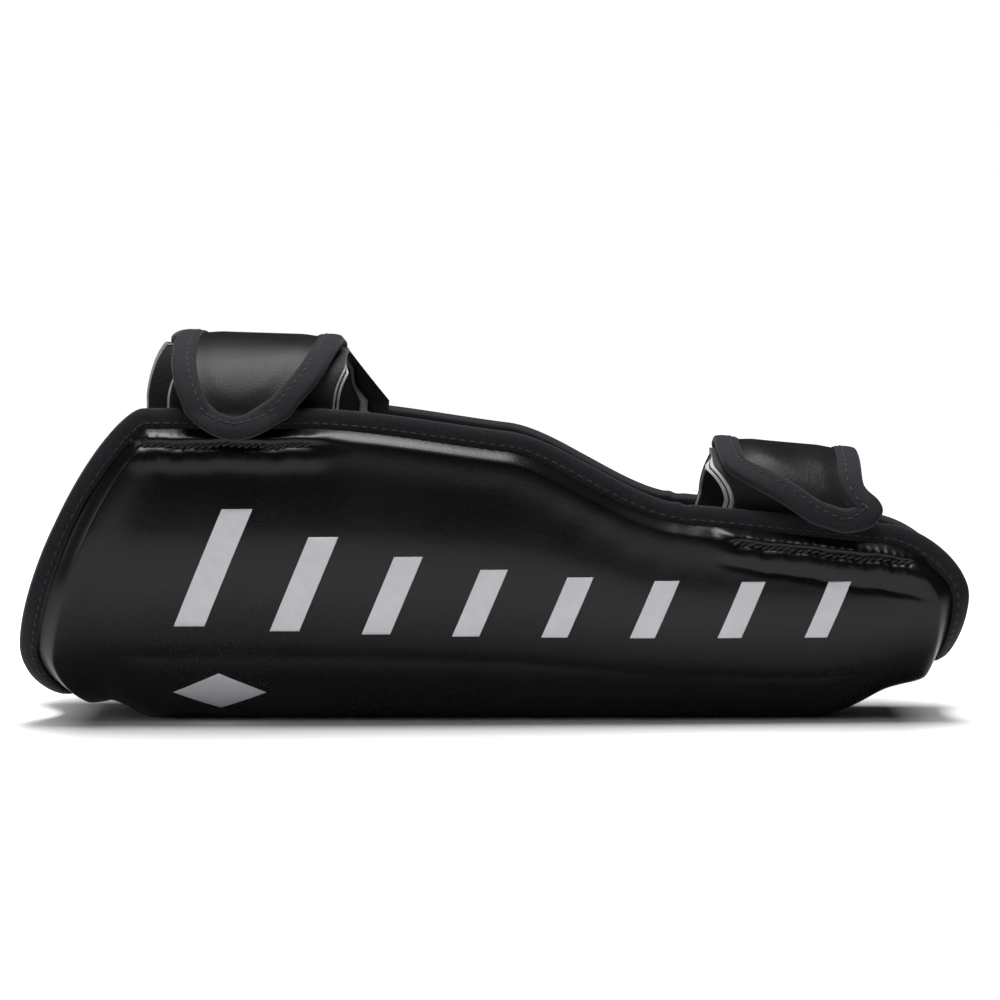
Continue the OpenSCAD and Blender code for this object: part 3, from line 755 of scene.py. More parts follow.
SOFT = foam_paint("soft_foam", (0.10, 0.10, 0.11), (0.16, 0.16, 0.17))
PRINT = print_paint("grey_print")
THREAD = thread_paint("thread", (0.005, 0.005, 0.0065), (0.018, 0.019, 0.023))


def piece(obj, paint, body=None, slot=None, nodes=(), bend=None):
    """Gives a piece its material, its body or bend, its slot and the CAD nodes it stands for."""
    obj.data.materials.append(paint)
    if nodes:
        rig.replaces(obj, *nodes)
    if slot:
        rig.slot(obj, slot)
    if bend:
        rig.blend(obj, *bend)
    else:
        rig.ride(obj, body)
    return obj


# ---------------------------------------------------------------- the trough
UV_L, UV_HALF = 0.38, 0.16  # the trough's length and half its girth in its UVs, in metres
FOAM_UNDER, FOAM_OVER = 0.7, 0.15  # how far the padding stays off the cover and off the lining


def shell_grid(rows, cols):
    """Rows along the trough and columns across it, closer together near the edges."""
    a, b = np.linspace(0, 1, rows), np.linspace(-1, 1, cols)
    u = a - 0.1035 * np.sin(2 * math.pi * a)
    v = b + 0.11 * np.sin(math.pi * b)
    return np.meshgrid(u, v, indexing="ij")


def shell_uv(u, v):
    return np.stack([u * UV_L, v * UV_HALF], -1)


def build_cover():
    u, v = shell_grid(340, 236)
    cover = between("cover", cover_points(u, v), cover_points(u, v, -COVER_T), shell_uv(u, v), flip=True)
    piece(cover, COVER, "trough", "cover_leather", ["outer_cover"])
    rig.padded(cover, fill=0.7)


def build_lining():
    u, v = shell_grid(200, 140)
    limb_side = inner_points(u, v, 0.0)
    lining = between("lining", limb_side, inner_points(u, v, LINING_T), shell_uv(u, v))
    piece(lining, LINING, "trough", "lining_fabric", ["inner_lining"])
    return lining, cut_size(limb_side)


def foam_front(u, v):
    """The padding's outer face, just under the cover and without its creases."""
    d = edge_distance(place(u, v))
    return deep(u, v, -EDGE_PULL * pressed(d) - COVER_T - 1.4 * hump(d, 13, 5) - FOAM_UNDER)


def build_foam(name, slot, paint, share_a, share_b):
    """A layer of padding between two shares of the way from the cover to the lining."""
    u, v = shell_grid(110, 84)
    outer, inner = foam_front(u, v), inner_points(u, v, LINING_T + FOAM_OVER)
    a, b = (outer * (1 - share) + inner * share for share in (share_a, share_b))
    foam = piece(between(name, a, b, flip=True), paint, "trough", slot, [slot])
    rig.padded(foam, fill=0.8)


def build_bar_foam():
    u, v = np.meshgrid(np.linspace(0.055, 0.89, 90), np.linspace(-0.3, 0.3, 25), indexing="ij")
    top = deep(u, v, np.maximum(bar_rise(u, v) - COVER_T - FOAM_UNDER, -COVER_T - 0.6))
    top[..., 2] = np.maximum(top[..., 2], COVER_T + 0.3)
    bar = between("foam_bar", top, deep(u, v, -(COVER_T + 0.68)), flip=True)
    piece(bar, FIRM, "trough", "firm_foam", ["front_bar_foam"])
    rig.padded(bar, fill=0.9)


build_cover()
trough_lining, lining_cut = build_lining()
build_foam("foam_firm", "firm_foam", FIRM, 0.0, 0.54)
build_foam("foam_soft", "soft_foam", SOFT, 0.56, 1.0)
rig.sheet(trough_lining, held="stretched", rests_on=["foam_soft"], **lining_cut)
build_bar_foam()


# ---------------------------------------------------------------- edge tape
TAPE_N, STITCH, STITCH_L, THREAD_R = 1500, 4.0, 2.7, 0.34
EDGE_HALF, EDGE_TAPE_T, EDGE_TAPE_W, EDGE_STITCH_IN = EDGE_T / 2 + 0.25, 0.85, 7.7, 5.4
THREAD_OUT = 0.16  # how far a stitch's middle stands off its tape


def edge_mid(u, v):
    return deep(u, v, -EDGE_PULL - EDGE_T / 2)


def relax(a, times):
    for _ in range(times):
        a = (np.roll(a, 1, 0) + a * 2 + np.roll(a, -1, 0)) / 4
    return a


def tape_ring(width, half, bulge, t, nose, inner_half, wall_to, wall):
    """The tape's section as (in from the edge, out of the face): outside, round the nose, and inside."""
    r = half + t
    leg = [(width, half + 0.15), (width - 0.15, r), (width * 0.72, r + bulge * 0.5),
           (width * 0.45, r + bulge), (width * 0.2, r + bulge * 0.8)]
    arc = [(nose * math.cos(a), r * math.sin(a)) for a in np.linspace(math.pi / 2, 3 * math.pi / 2, 9)]
    outside = np.array(leg + arc + [(a, -b) for a, b in leg[::-1]])
    inside = outside.copy()
    inside[:, 1] = np.clip(outside[:, 1], -inner_half, inner_half) * 0.98
    inside[:, 0] = np.where(outside[:, 0] < wall_to, outside[:, 0] + wall, outside[:, 0])
    return np.concatenate([outside, inside[::-1]])


def pucker(at):
    """1 at each stitch along a tape and 0 between them."""
    return 0.5 + 0.5 * np.cos(2 * math.pi * at / STITCH)


def stitches(name, centre, way, up, slot, body=None, bend=None):
    piece(capsules(name, centre, way, up, STITCH_L, THREAD_R), THREAD, body, slot, (), bend)


def edge_rail():
    """Along the taped edge: its middle, the ways into the trough, out of the face and on, and the tape's
    shown share."""
    inner = edge_mid(0.5 + (EDGE_U - 0.5) * 0.965, EDGE_V * 0.97)
    rail = np.concatenate([edge_mid(EDGE_U, EDGE_V), inner, np.abs(EDGE_V)[:, None]], 1)
    rail = np.concatenate([rail, rail[:1]])
    s = lengths(rail[:, :3])
    at = np.arange(TAPE_N) / TAPE_N * s[-1]
    rail = resampled(rail, s, at)
    middle, toward = relax(rail[:, :3], 3), rail[:, 3:6] - rail[:, :3]
    way = unit(np.roll(middle, -1, 0) - np.roll(middle, 1, 0))
    into = unit(toward - way * (toward * way).sum(1, keepdims=True))
    into = unit(relax(into, 12))
    shown = 0.74 + 0.26 * smooth((rail[:, 6:] - 0.7) / 0.25)  # it narrows towards the front
    return at, middle, into, unit(np.cross(way, into)), way, shown


def build_edge_tape():
    at, middle, into, face, way, shown = edge_rail()
    ring = tape_ring(EDGE_TAPE_W, EDGE_HALF, 0.45, EDGE_TAPE_T, 1.35, EDGE_T / 2 + 0.1, 0.5, 0.9)
    dip = hump(np.abs(ring[:, 0]), EDGE_STITCH_IN, 1.3) * (np.abs(ring[:, 1]) > EDGE_T / 2 + 0.2)
    slack = 0.18 * np.sin(at / 23.0) + 0.14 * np.sin(at / 9.1 + 1)
    a = ring[None, :, 0] + slack[:, None] * (ring[None, :, 0] > 5)
    a = np.where(a > 0, a * shown, a)
    b = ring[None, :, 1] * (1 - (0.06 + 0.05 * pucker(at)[:, None]) * dip[None, :])
    rings = middle[:, None] + into[:, None] * a[..., None] + face[:, None] * b[..., None]
    tape = sweep("edge_tape", rings, True, at * MM, lengths(ring) * MM)
    piece(tape, TAPE, "trough", "edge_tape", ["edge_binding"])

    rows = np.concatenate([middle, into, face, way, shown], 1)
    rows = np.concatenate([rows, rows[:1]])
    rows = sample(rows, spaced(rows[:, :3], STITCH) % TAPE_N)
    middle, into, face, way, shown = np.split(rows, [3, 6, 9, 12], 1)
    for side, label in ((1, "outer"), (-1, "inner")):
        out = face * side
        centre = middle + into * (EDGE_STITCH_IN * shown) + out * (EDGE_HALF + EDGE_TAPE_T + THREAD_OUT)
        stitches(f"edge_stitch_{label}", centre, way, out, "edge_tape", "trough")


build_edge_tape()


# ---------------------------------------------------------------- seams and plain marks on the cover
ENDS = ("upper", "lower")
SIDES = ((-1, "near"), (1, "far"))
MARKS, MARK_LEAN = 8, 0.42
LOZENGE = [(-132, 0.235), (-113, 0.175), (-94, 0.235), (-113, 0.295)]


def at_share(x, t, side):
    """(u, v) on a side of the trough, at x and a share of the way from its front to its edge."""
    return (x - knee_x(t)) / (ankle_x(t) - knee_x(t)), side * t


def at_height(x, z, side):
    """The same at a height above the surface it lies on."""
    low, high = front_height(x), edge_height(x)
    h = np.clip((z - low) / (high - low), 0, 1)
    t = np.where(h < ARC_SHARE, np.arccos(np.clip(1 - h / ARC_SHARE, -1, 1)) / (math.pi / 2) * ARC_T,
                 ARC_T + (h - ARC_SHARE) / (1 - ARC_SHARE) * (1 - ARC_T))
    return at_share(x, t, side)


def build_seam(k, side, label):
    """The raised rope along a sewn line: a row of slanting turns of thread."""
    a, b, depth, drop = SEAMS[k]
    x = np.linspace(a + 1, b - 1, 260)
    u, v = at_share(x, 1 - seam_line(x, a, depth, drop) / half_length(x), side)
    line = cover_points(u, v, 0.6)
    idx = spaced(line, 3.0)
    way, up = sample(np.gradient(line, axis=0), idx), sample(outward(u, v), idx)
    slant = unit(way) + 0.55 * unit(np.cross(up, way))
    rope = capsules(f"seam_{ENDS[k]}_{label}", sample(line, idx), slant, up, 3.7, 0.6)
    piece(rope, THREAD, "trough", "cover_leather")


def patch(name, corners, side, to_uv, rows=26, cols=40):
    """A thin print on the cover. to_uv turns its four corners' pairs into (u, v)."""
    c = np.array(corners, float)
    a, b = np.meshgrid(np.linspace(0, 1, rows), np.linspace(0, 1, cols), indexing="ij")
    shares = ((1 - a) * (1 - b), (1 - a) * b, a * b, a * (1 - b))
    flat = sum(corner * share[..., None] for corner, share in zip(c, shares, strict=True))
    u, v = to_uv(flat[..., 0], flat[..., 1], side)
    obj = between(name, cover_points(u, v, 0.13), cover_points(u, v, -0.3), flat * MM, flip=side > 0)
    piece(obj, PRINT, "trough", "cover_leather")


def bar_corners(f):
    """A slanted bar's corners as (x, z). f goes from 0 at the knee end to 1 at the ankle end."""
    x, width = -124 + 254 * (f**0.97), 6.2 - 1.6 * f
    height, middle = 23 + 25 * (1 - f) ** 3, 47 + 18 * (1 - f) ** 3
    lean, low, high = height * MARK_LEAN, middle - height / 2, middle + height / 2
    return [(x - width, low), (x + width, low), (x + width + lean, high), (x - width + lean, high)]


for seam in range(len(SEAMS)):
    for side_sign, side_name in SIDES:
        build_seam(seam, side_sign, side_name)
for side_sign, side_name in SIDES:
    for mark in range(MARKS):
        patch(f"mark_{side_name}_{mark + 1}", bar_corners(mark / (MARKS - 1)), side_sign, at_height)
    patch(f"lozenge_{side_name}", LOZENGE, side_sign, at_share)


# ---------------------------------------------------------------- straps
LAYER, LEATHER_CROWN, TAPE_W, STRAP_TAPE_T, STRAP_STITCH = 1.2, 0.7, 8.5, 0.7, 0.62
ROOT = np.array([[-141.0, -45.0], [86.0, 154.0]])
ACROSS = np.array([[-127.6, -65.0], [91.6, 148.0]])
TIP_X, TIP_DROP, CREST_TILT = [-105.0, 141.0], [10.0, 2.5], [-0.022, -0.035]
# The tab's two sides, as x at places s along it, 0 at its bend and 1 at its tip.
TAB_S = [0, 0.1, 0.18, 0.28, 0.38, 0.47, 0.54, 0.60, 0.66, 0.72, 0.78, 0.84, 0.90, 0.94, 0.97, 0.99, 1]
TAB_LEFT = [
    [-127.6, -128.6, -129.2, -129.8, -129.8, -128.8, -127.4, -125.4, -123.3, -121.2, -119.4, -117.4,
     -114.6, -112.2, -110.0, -107.6, -105.0],
    [91.6, 91.4, 91.3, 91.6, 92.4, 93.6, 96.0, 100.5, 106.4, 112.5, 118.4, 123.8,
     130.2, 134.4, 137.4, 139.4, 141.0],
]
TAB_RIGHT = [
    [-65.0, -63.8, -64.4, -66.6, -69.3, -72.8, -76.5, -80.4, -84.2, -87.3, -89.8, -92.0,
     -95.0, -97.4, -99.8, -102.2, -105.0],
    [148.0, 148.0, 148.0, 148.0, 148.0, 148.0, 148.1, 148.6, 150.4, 154.2, 156.2, 154.0,
     150.2, 147.6, 145.2, 143.2, 141.0],
]
CREST_Z, CREST_Y = [157.0, 110.5], [-8.0, -6.0]
FLAP_X = np.array([[-132.0, -66.0], [97.0, 156.0]])
FLAP_END = np.array([[-126.0, -61.0], [88.5, 146.0]])
FLAP_DEPTH = 3.05  # the flap's outer layer below the strap's middle
INSIDE, OVER, PEEL_Q, SLOPE = 5.25, 2.85, 1.04, 0.22
WIDTH_ROW = 20  # the row at which a sewn sheet's flat width is measured
# Rows of a sewn root, as distances below the edge.
BAND_D = np.array([13, 10.5, 8.6, 7.2, 5.8, 4.6, 3.6, 2.7, 1.7, 0.6])[:, None]
# Layers under the panel's elastic: their left, right and root insets, and the span off its middle.
PANEL_LEFT, PANEL_REACH = [-2.6, 0.3], [9.0, 5.0]
PANEL_LAYERS = [
    ("panel_core_a", 0.0, 0.2, 0.0, (-0.5, 0.0), PALE, "pale_lining"),
    ("panel_mid", 0.5, 0.9, 1.6, (-0.85, -0.55), LOOP, "loop_cloth"),
    ("panel_core_b", 0.1, 0.5, 0.0, (-1.35, -0.9), PALE, "pale_lining"),
    ("panel_inside", 0.8, 1.3, 2.4, (-1.75, -1.4), LOOP, "loop_cloth"),
]
# Layers of a flap from the outside in: left and right insets of the upper and the lower, and the span.
FLAP_LAYERS = [
    ("flap_loops", (0.0, 0.0), (0.0, 0.0), (0.0, 0.55), LOOP, "loop_cloth", ["flap_anchor", "loop_flap"]),
    ("flap_core_a", (-0.6, -1.7), (-0.8, -0.5), (0.6, 1.05), PALE, "pale_lining", ["flap_lining"]),
    ("flap_mid", (-0.7, -2.3), (-1.5, -0.2), (1.1, 1.35), LOOP, "loop_cloth", []),
    ("flap_core_b", (-0.9, -4.0), (-2.5, -0.5), (1.4, 1.85), PALE, "pale_lining", []),
    ("flap_inside", (0.2, 0.2), (0.2, 0.2), (1.9, 2.3), LOOP, "loop_cloth", []),
]


def edge_at(k, side, x):
    ends = (ROOT[k] - CORNER_A) / (CORNER_B - CORNER_A)
    a, b = edge_mid(ends, np.full(2, float(side)))
    q = (x - a[0]) / (b[0] - a[0])
    return stack(x, a[1] + (b[1] - a[1]) * q, a[2] + (b[2] - a[2]) * q)


def bezier(a, b, c, q):
    q = np.asarray(q)[..., None]
    return a * (1 - q) ** 2 + b * 2 * q * (1 - q) + c * q**2


def far_line(k, x):
    """Where the strap leaves the inside of the far edge."""
    return edge_at(k, 1, x) + np.array([0, -INSIDE, OVER])


def flap_line(k, x):
    """Where the flap leaves the inside of the near edge."""
    return edge_at(k, -1, x) + np.array([0, INSIDE, OVER])


def near_line(k, x):
    """Where the closed tab passes outside the near edge."""
    return edge_at(k, -1, x) + np.array([0, -INSIDE - 4.0, 0])


def crest(k, x):
    m = (far_line(k, x)[..., 2] - far_line(k, np.array(TIP_X[k]))[..., 2]) * 0.5
    return stack(x, CREST_Y[k], CREST_Z[k] + m + CREST_TILT[k] * (x - ACROSS[k].mean()))


def path(k, x, q):
    """The closed strap's middle: q is 0 at the far edge, 1 at its crest and 2 at the near edge."""
    x, q = np.broadcast_arrays(np.asarray(x, float), np.asarray(q, float))
    f, c, n = far_line(k, x), crest(k, x), near_line(k, x)
    far = bezier(f, stack(x, f[..., 1] - 9, c[..., 2]), c, np.clip(q, 0, 1))
    shoulder = stack(x, n[..., 1] + (c[..., 2] - n[..., 2]) * SLOPE, c[..., 2])
    near = bezier(c, shoulder, n, np.clip(q - 1, 0, 1))
    down = n - (np.maximum(q - 2, 0) * 20)[..., None] * np.array([0, SLOPE, 1.0])
    return np.where((q <= 1)[..., None], far, np.where((q <= 2)[..., None], near, down))


def path_up(k, x, q):
    d = path(k, x, q + 0.01) - path(k, x, np.maximum(0, q - 0.01))
    return unit(stack(np.zeros_like(d[..., 0]), d[..., 2], -d[..., 1]))


def lift(k, x, q):
    """Where the closed strap stands off its plain path: a curled corner and soft waves."""
    if k == 0:
        belly = 1.0 * hump(q, 1.35, 0.2) + 4.0 * smooth((q - 1.7) / 0.8)
        return belly + 0.5 * np.sin((x + 95) / 13.0) * hump(q, 1.45, 0.3)
    curl = 3.2 * smooth((x - 141) / 14) * smooth((q - 1.45) / 0.55)
    wave = 1.0 * hump(x - 22 * (q - 1.3), 108, 9) * hump(q, 1.35, 0.3)
    return curl + wave


def strap_at(k, x, q, d):
    x, q = np.broadcast_arrays(np.asarray(x, float), np.asarray(q, float))
    return path(k, x, q) + path_up(k, x, q) * (np.asarray(d) + lift(k, x, q))[..., None]


def mixed(a, b, t):
    return a + (b - a) * t


def strap_sides(k, q):
    q = np.clip(q, 0, 1)
    right = mixed(ROOT[k][1], ACROSS[k][1], 1 - (1 - q) ** 2.3)
    if k == 0:  # its left side is sewn on past the corner
        return mixed(-147.0, ACROSS[0][0], q**1.4), right
    return mixed(ROOT[1][0], ACROSS[1][0], smooth(q / 0.7)), right


def smoothed(table, s):
    """A tab side's x at places s, rounded but ending exactly at the tip."""
    fine = np.linspace(0, 1, 401)
    y = np.interp(fine, TAB_S, table)
    pad = np.concatenate([np.full(12, y[0]), y, np.full(12, y[-1])])
    y = np.convolve(pad, np.hanning(25) / np.hanning(25).sum(), "valid")
    y[-14:] = np.interp(fine[-14:], [fine[-15], 1], [y[-15], table[-1]])
    return np.interp(s, fine, y)


def tab_run(k):
    """Places q along the tab and how far along its leather they are."""
    q = np.linspace(PEEL_Q, 2 + TIP_DROP[k] / 20, 200)
    return q, lengths(path(k, np.full(200, TIP_X[k]), q))


def soften(line, times):
    """Rounds a line in place, and keeps its ends."""
    for _ in range(times):
        line[1:-1] = (line[:-2] + line[1:-1] * 2 + line[2:]) / 4
    return line


def tab_outline(k):
    """The tab's edge from one side of its bend round the tip to the other, as x and length."""
    s = np.sin(np.linspace(0, 1, 260) * math.pi / 2)
    q, run = tab_run(k)
    down = np.interp(mixed(PEEL_Q, q[-1], s), q, run)
    left, right = (np.stack([smoothed(table[k], s), down], 1) for table in (TAB_LEFT, TAB_RIGHT))
    line = np.concatenate([left, right[::-1][1:]])
    s_line = lengths(line)
    return soften(resampled(line, s_line, np.linspace(0, 1, 420) * s_line[-1]), 12)


def inset_line(line, width):
    """The same line moved in by a width, without its loops."""
    way = unit(np.gradient(line, axis=0))
    for _ in range(20):
        way[1:-1] = unit(way[:-2] + way[1:-1] + way[2:])
    return soften(line + np.stack([way[:, 1], -way[:, 0]], 1) * width, 80)


def length_to_q(k, ell):
    q, run = tab_run(k)
    return np.interp(ell, run, q) + np.minimum(ell, 0) * 0.012  # a little before the bend too


def tab_sides(k, s, inset):
    """q and both sides of a line so far in from the tab's edge."""
    line = inset_line(tab_outline(k), inset)
    ell = s * line[:, 1].max()
    half = int(np.argmax(line[:, 1]))
    left = np.interp(ell, np.maximum.accumulate(line[: half + 1, 1]), line[: half + 1, 0])
    right = np.interp(ell, np.maximum.accumulate(line[half:, 1][::-1]), line[half:, 0][::-1])
    return length_to_q(k, ell), left, right


def from_edge(k, x, q):
    """How far places on the strap or its tab are from its taped edge."""
    left, right = strap_sides(k, q)
    grid_q, run = tab_run(k)
    at = np.stack([x, np.interp(q, grid_q, run)], -1)
    near = np.sqrt(((at[..., None, :] - tab_outline(k)[::3]) ** 2).sum(-1)).min(-1)
    return np.where(q < PEEL_Q, np.minimum(x - left, right - x), near)


def puffed(k, x, q):
    """How full the leather is inside its tape, from 0 to 1."""
    return smooth((from_edge(k, x, q) - TAPE_W + 1.5) / 9.0)


def peel_bend(k):
    """The bodies, and the stretch over which leather bends as the tab peels off."""
    p = path(k, np.array(ACROSS[k].mean()), np.array([PEEL_Q - 0.06, PEEL_Q + 0.17]))
    return f"{ENDS[k]}_strap", f"{ENDS[k]}_tab", tuple(p[0] * MM), tuple(p[1] * MM)


def root_bend(k, child, line):
    """The same where a strap or flap leaves the inside of an edge."""
    ends = line(k, ROOT[k])
    axis, middle = unit(ends[1] - ends[0]), ends.mean(0)
    up = unit(np.cross(axis, np.array([0, 1.0, 0])))
    up = up * np.sign(up[2])
    return "trough", f"{ENDS[k]}_{child}", tuple((middle - up * 1.5) * MM), tuple((middle + up * 7.0) * MM)


def named(k, names):
    return [f"{ENDS[k]}_{name}" for name in names]


def spread(left, right, cols):
    """Rows of x from a left to a right side."""
    share = np.linspace(0, 1, cols)
    return left[:, None] * (1 - share) + right[:, None] * share


def sheet_uv(points, x):
    run = lengths(points[:, points.shape[1] // 2])
    return np.stack([np.broadcast_to(run[:, None], x.shape), x], -1) * MM


def strap_sheet(k, what, sides, rows_q, cols, span, looks, nodes, rests_on, crown=0.0):
    """A sheet along a strap and its tab, between two distances off its middle."""
    x = spread(*sides, cols)
    q = np.broadcast_to(rows_q[:, None], x.shape)
    puff = crown * puffed(k, x, q) if crown else 0
    top, foot = strap_at(k, x, q, span[1] + puff), strap_at(k, x, q, span[0])
    obj = between(f"{ENDS[k]}_{what}", top, foot, sheet_uv(top, x), flip=True)
    piece(obj, looks[0], None, looks[1], named(k, nodes), peel_bend(k))
    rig.sheet(obj, held="stretched", rests_on=named(k, rests_on), **cut_size(top))


def sewn_sheet(k, what, top, foot, looks, nodes, bend, flip):
    """A layer that runs from its seam on the lining up past the edge."""
    obj = between(f"{ENDS[k]}_{what}", top, foot, sheet_uv(top, top[..., 0]), flip=flip)
    piece(obj, looks[0], None, looks[1], named(k, nodes), bend)
    width = float(np.linalg.norm(top[WIDTH_ROW, -1] - top[WIDTH_ROW, 0])) * MM
    run = lengths(top[:, top.shape[1] // 2])
    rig.sheet(obj, flat=(width, run[-1] * MM), held="stretched", rests_on=["lining"])


def inside_band(side, x0, x1, cols, add, draw=0.0):
    """The sewn root on the lining below an edge, from its seam up to the edge."""
    x = mixed(x0, x1 - draw * smooth((3.4 - BAND_D) / 2.6), np.linspace(0, 1, cols)[None, :])
    past_corner = 4.6 * (np.maximum(0, ROOT[0][0] - x) / 7) ** 1.5
    u, v = at_share(x, 1 - (BAND_D + past_corner) / half_length(x), side)
    pressing = pressed(BAND_D)
    gap = 1.75 - 1.1 * smooth((BAND_D - 7.5) / 4)
    return deep(u, v, -EDGE_PULL * pressing - thickness(v, pressing) - gap - add)


def build_panel(k, what, inset, span, paint, slot, nodes=()):
    """A layer of the stretch panel. inset: left, right, how far the right draws in, and its root's flare."""
    cols, q_rows = 70, np.linspace(0.015, 0.64, 46)
    left, right = strap_sides(k, q_rows)
    pull = inset[2] * (1 - 0.62 * smooth((q_rows - 0.1) / 0.27))
    pull = pull + inset[3] * hump(q_rows, 0.0, 0.08)
    x = spread(left + inset[0], right - inset[1] - pull, cols)
    q = np.broadcast_to(q_rows[:, None], x.shape)
    faces = []
    for d in span:
        root = inside_band(1, left[0] + inset[0], ROOT[k][1] - inset[1], cols, 0.6 - d, pull[0])
        faces.append(np.concatenate([root, strap_at(k, x, q, d)]))
    sewn_sheet(k, what, faces[1], faces[0], (paint, slot), nodes, root_bend(k, "strap", far_line), True)


def build_panels(k):
    build_panel(k, "panel_elastic", (0.0, 0.0, 0.0, 0.0), (0.05, 0.7), ELASTIC, "elastic",
                ["strap_anchor", "stretch_panel"])
    for what, left, right, flare, span, paint, slot in PANEL_LAYERS:
        build_panel(k, what, (PANEL_LEFT[k] + left, right, PANEL_REACH[k], flare), span, paint, slot)


def build_leather(k):
    """Leather over the limb and down the tab, in one length, with its lining and hook patch."""
    s_rows = np.sin(np.linspace(0.02, 1, 60) * math.pi / 2) ** 1.15
    s_rows[-1] = 0.9995
    q_tab, l_tab, r_tab = tab_sides(k, s_rows, 0.9)
    q_face = np.linspace(0.5, PEEL_Q - 0.01, 34)
    l_face, r_face = strap_sides(k, q_face)
    rows_q = np.concatenate([q_face, q_tab])
    sides = np.concatenate([l_face + 0.9, l_tab]), np.concatenate([r_face - 0.9, r_tab])
    off = (0.75 - 0.65 * smooth((rows_q - 0.63) / 0.08))[:, None]  # it lies on the panel's end
    strap_sheet(k, "strap_leather", sides, rows_q, 60, (off, off + LAYER), (STRAP, "strap_leather"),
                ["strap_face", "tab_face"], ["strap_lining", "tab_hooks"], LEATHER_CROWN)
    off = (0.95 - 0.6 * smooth((q_face - 0.63) / 0.08))[:, None]
    strap_sheet(k, "strap_lining", (l_face + 1, r_face - 1), q_face, 40, (-(off + LAYER), -off),
                (LOOP, "loop_cloth"), ["strap_backing"], ["strap_leather"])
    q_hook, l_hook, r_hook = tab_sides(k, s_rows, 1.2)
    strap_sheet(k, "tab_hooks", (l_hook, r_hook), q_hook + 0.02, 46, (-LAYER - 0.12, -0.12),
                (HOOK, "hook_tape"), ["hook_patch"], ["flap_loops"])


def build_strap_tape(k):
    """Tape down one side, round the tab and back up the other side, and its stitches."""
    q_side = np.linspace(0.70, PEEL_Q - 0.004, 60)
    left, right = strap_sides(k, q_side)
    rim = tab_outline(k)
    routes = []
    for inset, turn in ((0, rim), (TAPE_W, inset_line(rim, TAPE_W))):
        routes.append(np.concatenate([
            np.stack([left + inset, q_side], 1),
            np.stack([turn[:, 0], length_to_q(k, turn[:, 1])], 1),
            np.stack([right - inset, q_side], 1)[::-1],
        ]))
    s = lengths(strap_at(k, routes[0][:, 0], routes[0][:, 1], 0.0))
    at = np.linspace(0, s[-1], int(s[-1] / 0.8))
    outer, inner = (resampled(route, s, at) for route in routes)
    base, goal = (strap_at(k, line[:, 0], line[:, 1], 0.0) for line in (outer, inner))
    up = path_up(k, outer[:, 0], outer[:, 1])
    half = LAYER + 0.3
    ring = tape_ring(1.0, half, 0.35, STRAP_TAPE_T, 0.16, half, 0.05, 0.1)
    dip = hump(ring[:, 0], STRAP_STITCH, 0.13) * (np.abs(ring[:, 1]) > half + 0.05)
    a = (ring[None, :, 0] * (1 + 0.02 * np.sin(at / 11.0))[:, None])[..., None]
    b = ring[None, :, 1] * (1 - (0.10 + 0.07 * pucker(at)[:, None]) * dip[None, :])
    past_edge = base[:, None] * (1 - a) + goal[:, None] * a + unit(up[:, None]) * b[..., None]
    spot = outer[:, None] * (1 - a) + inner[:, None] * a
    rings = np.where(a >= 0, strap_at(k, spot[..., 0], spot[..., 1], b), past_edge)
    tape = sweep(f"{ENDS[k]}_strap_tape", rings, False, at * MM, lengths(ring * [TAPE_W, 1]) * MM)
    piece(tape, TAPE, None, "edge_tape", named(k, ["strap_binding", "tab_binding"]), peel_bend(k))

    idx = spaced(base, STITCH, 0.6)
    spot = sample(outer, idx) * (1 - STRAP_STITCH) + sample(inner, idx) * STRAP_STITCH
    way = sample(np.gradient(base, axis=0), idx)
    for face, label in ((1, "outer"), (-1, "inner")):
        centre = strap_at(k, spot[:, 0], spot[:, 1], face * (half + STRAP_TAPE_T + THREAD_OUT))
        out = path_up(k, spot[:, 0], spot[:, 1]) * face
        stitches(f"{ENDS[k]}_tape_stitch_{label}", centre, way, out, "edge_tape", bend=peel_bend(k))


def build_panel_stitches(k):
    """Two rows across the strap where the leather is sewn over the stretch panel."""
    rows = []
    for q in (0.515, 0.60):
        (left,), (right,) = strap_sides(k, np.array([q]))
        x = np.arange(left + 5, right - 5, STITCH)
        rows.append(np.stack([x, np.full(len(x), q)]))
    x, q = np.concatenate(rows, 1)
    centre = strap_at(k, x, q, 0.75 + LAYER + 0.05 + LEATHER_CROWN * puffed(k, x, q))
    way = np.tile([1.0, 0, 0], (len(x), 1))
    stitches(f"{ENDS[k]}_panel_stitch", centre, way, path_up(k, x, q), "strap_leather", f"{ENDS[k]}_strap")


def under_strap(k, x, f):
    """The flap's part that lies under the tab, f going from 1 where it meets it."""
    q = 1.5 - 0.55 * (f - 1)
    return path(k, x, q) - path_up(k, x, q) * FLAP_DEPTH


def flap_mid(k, x, f):
    """The flap's outer layer: f is 0 at the near edge and 1 where it meets the tab."""
    x, f = np.broadcast_arrays(np.asarray(x, float), np.asarray(f, float))
    meet, root = under_strap(k, x, np.ones_like(x)), flap_line(k, x)
    down = unit(path(k, x, np.full_like(x, 1.51)) - path(k, x, np.full_like(x, 1.49)))
    reach = np.linalg.norm(meet - root, axis=-1, keepdims=True)
    rising = bezier(root, meet + down * reach * 0.5, meet, np.clip(f, 0, 1))
    return np.where((f <= 1)[..., None], rising, under_strap(k, x, np.maximum(f, 1)))


def flap_at(k, x, f, d):
    g = flap_mid(k, x, f + 0.01) - flap_mid(k, x, f)
    out = unit(stack(np.zeros_like(g[..., 0]), -g[..., 2], g[..., 1]))
    return flap_mid(k, x, f) - out * np.asarray(d)[..., None]


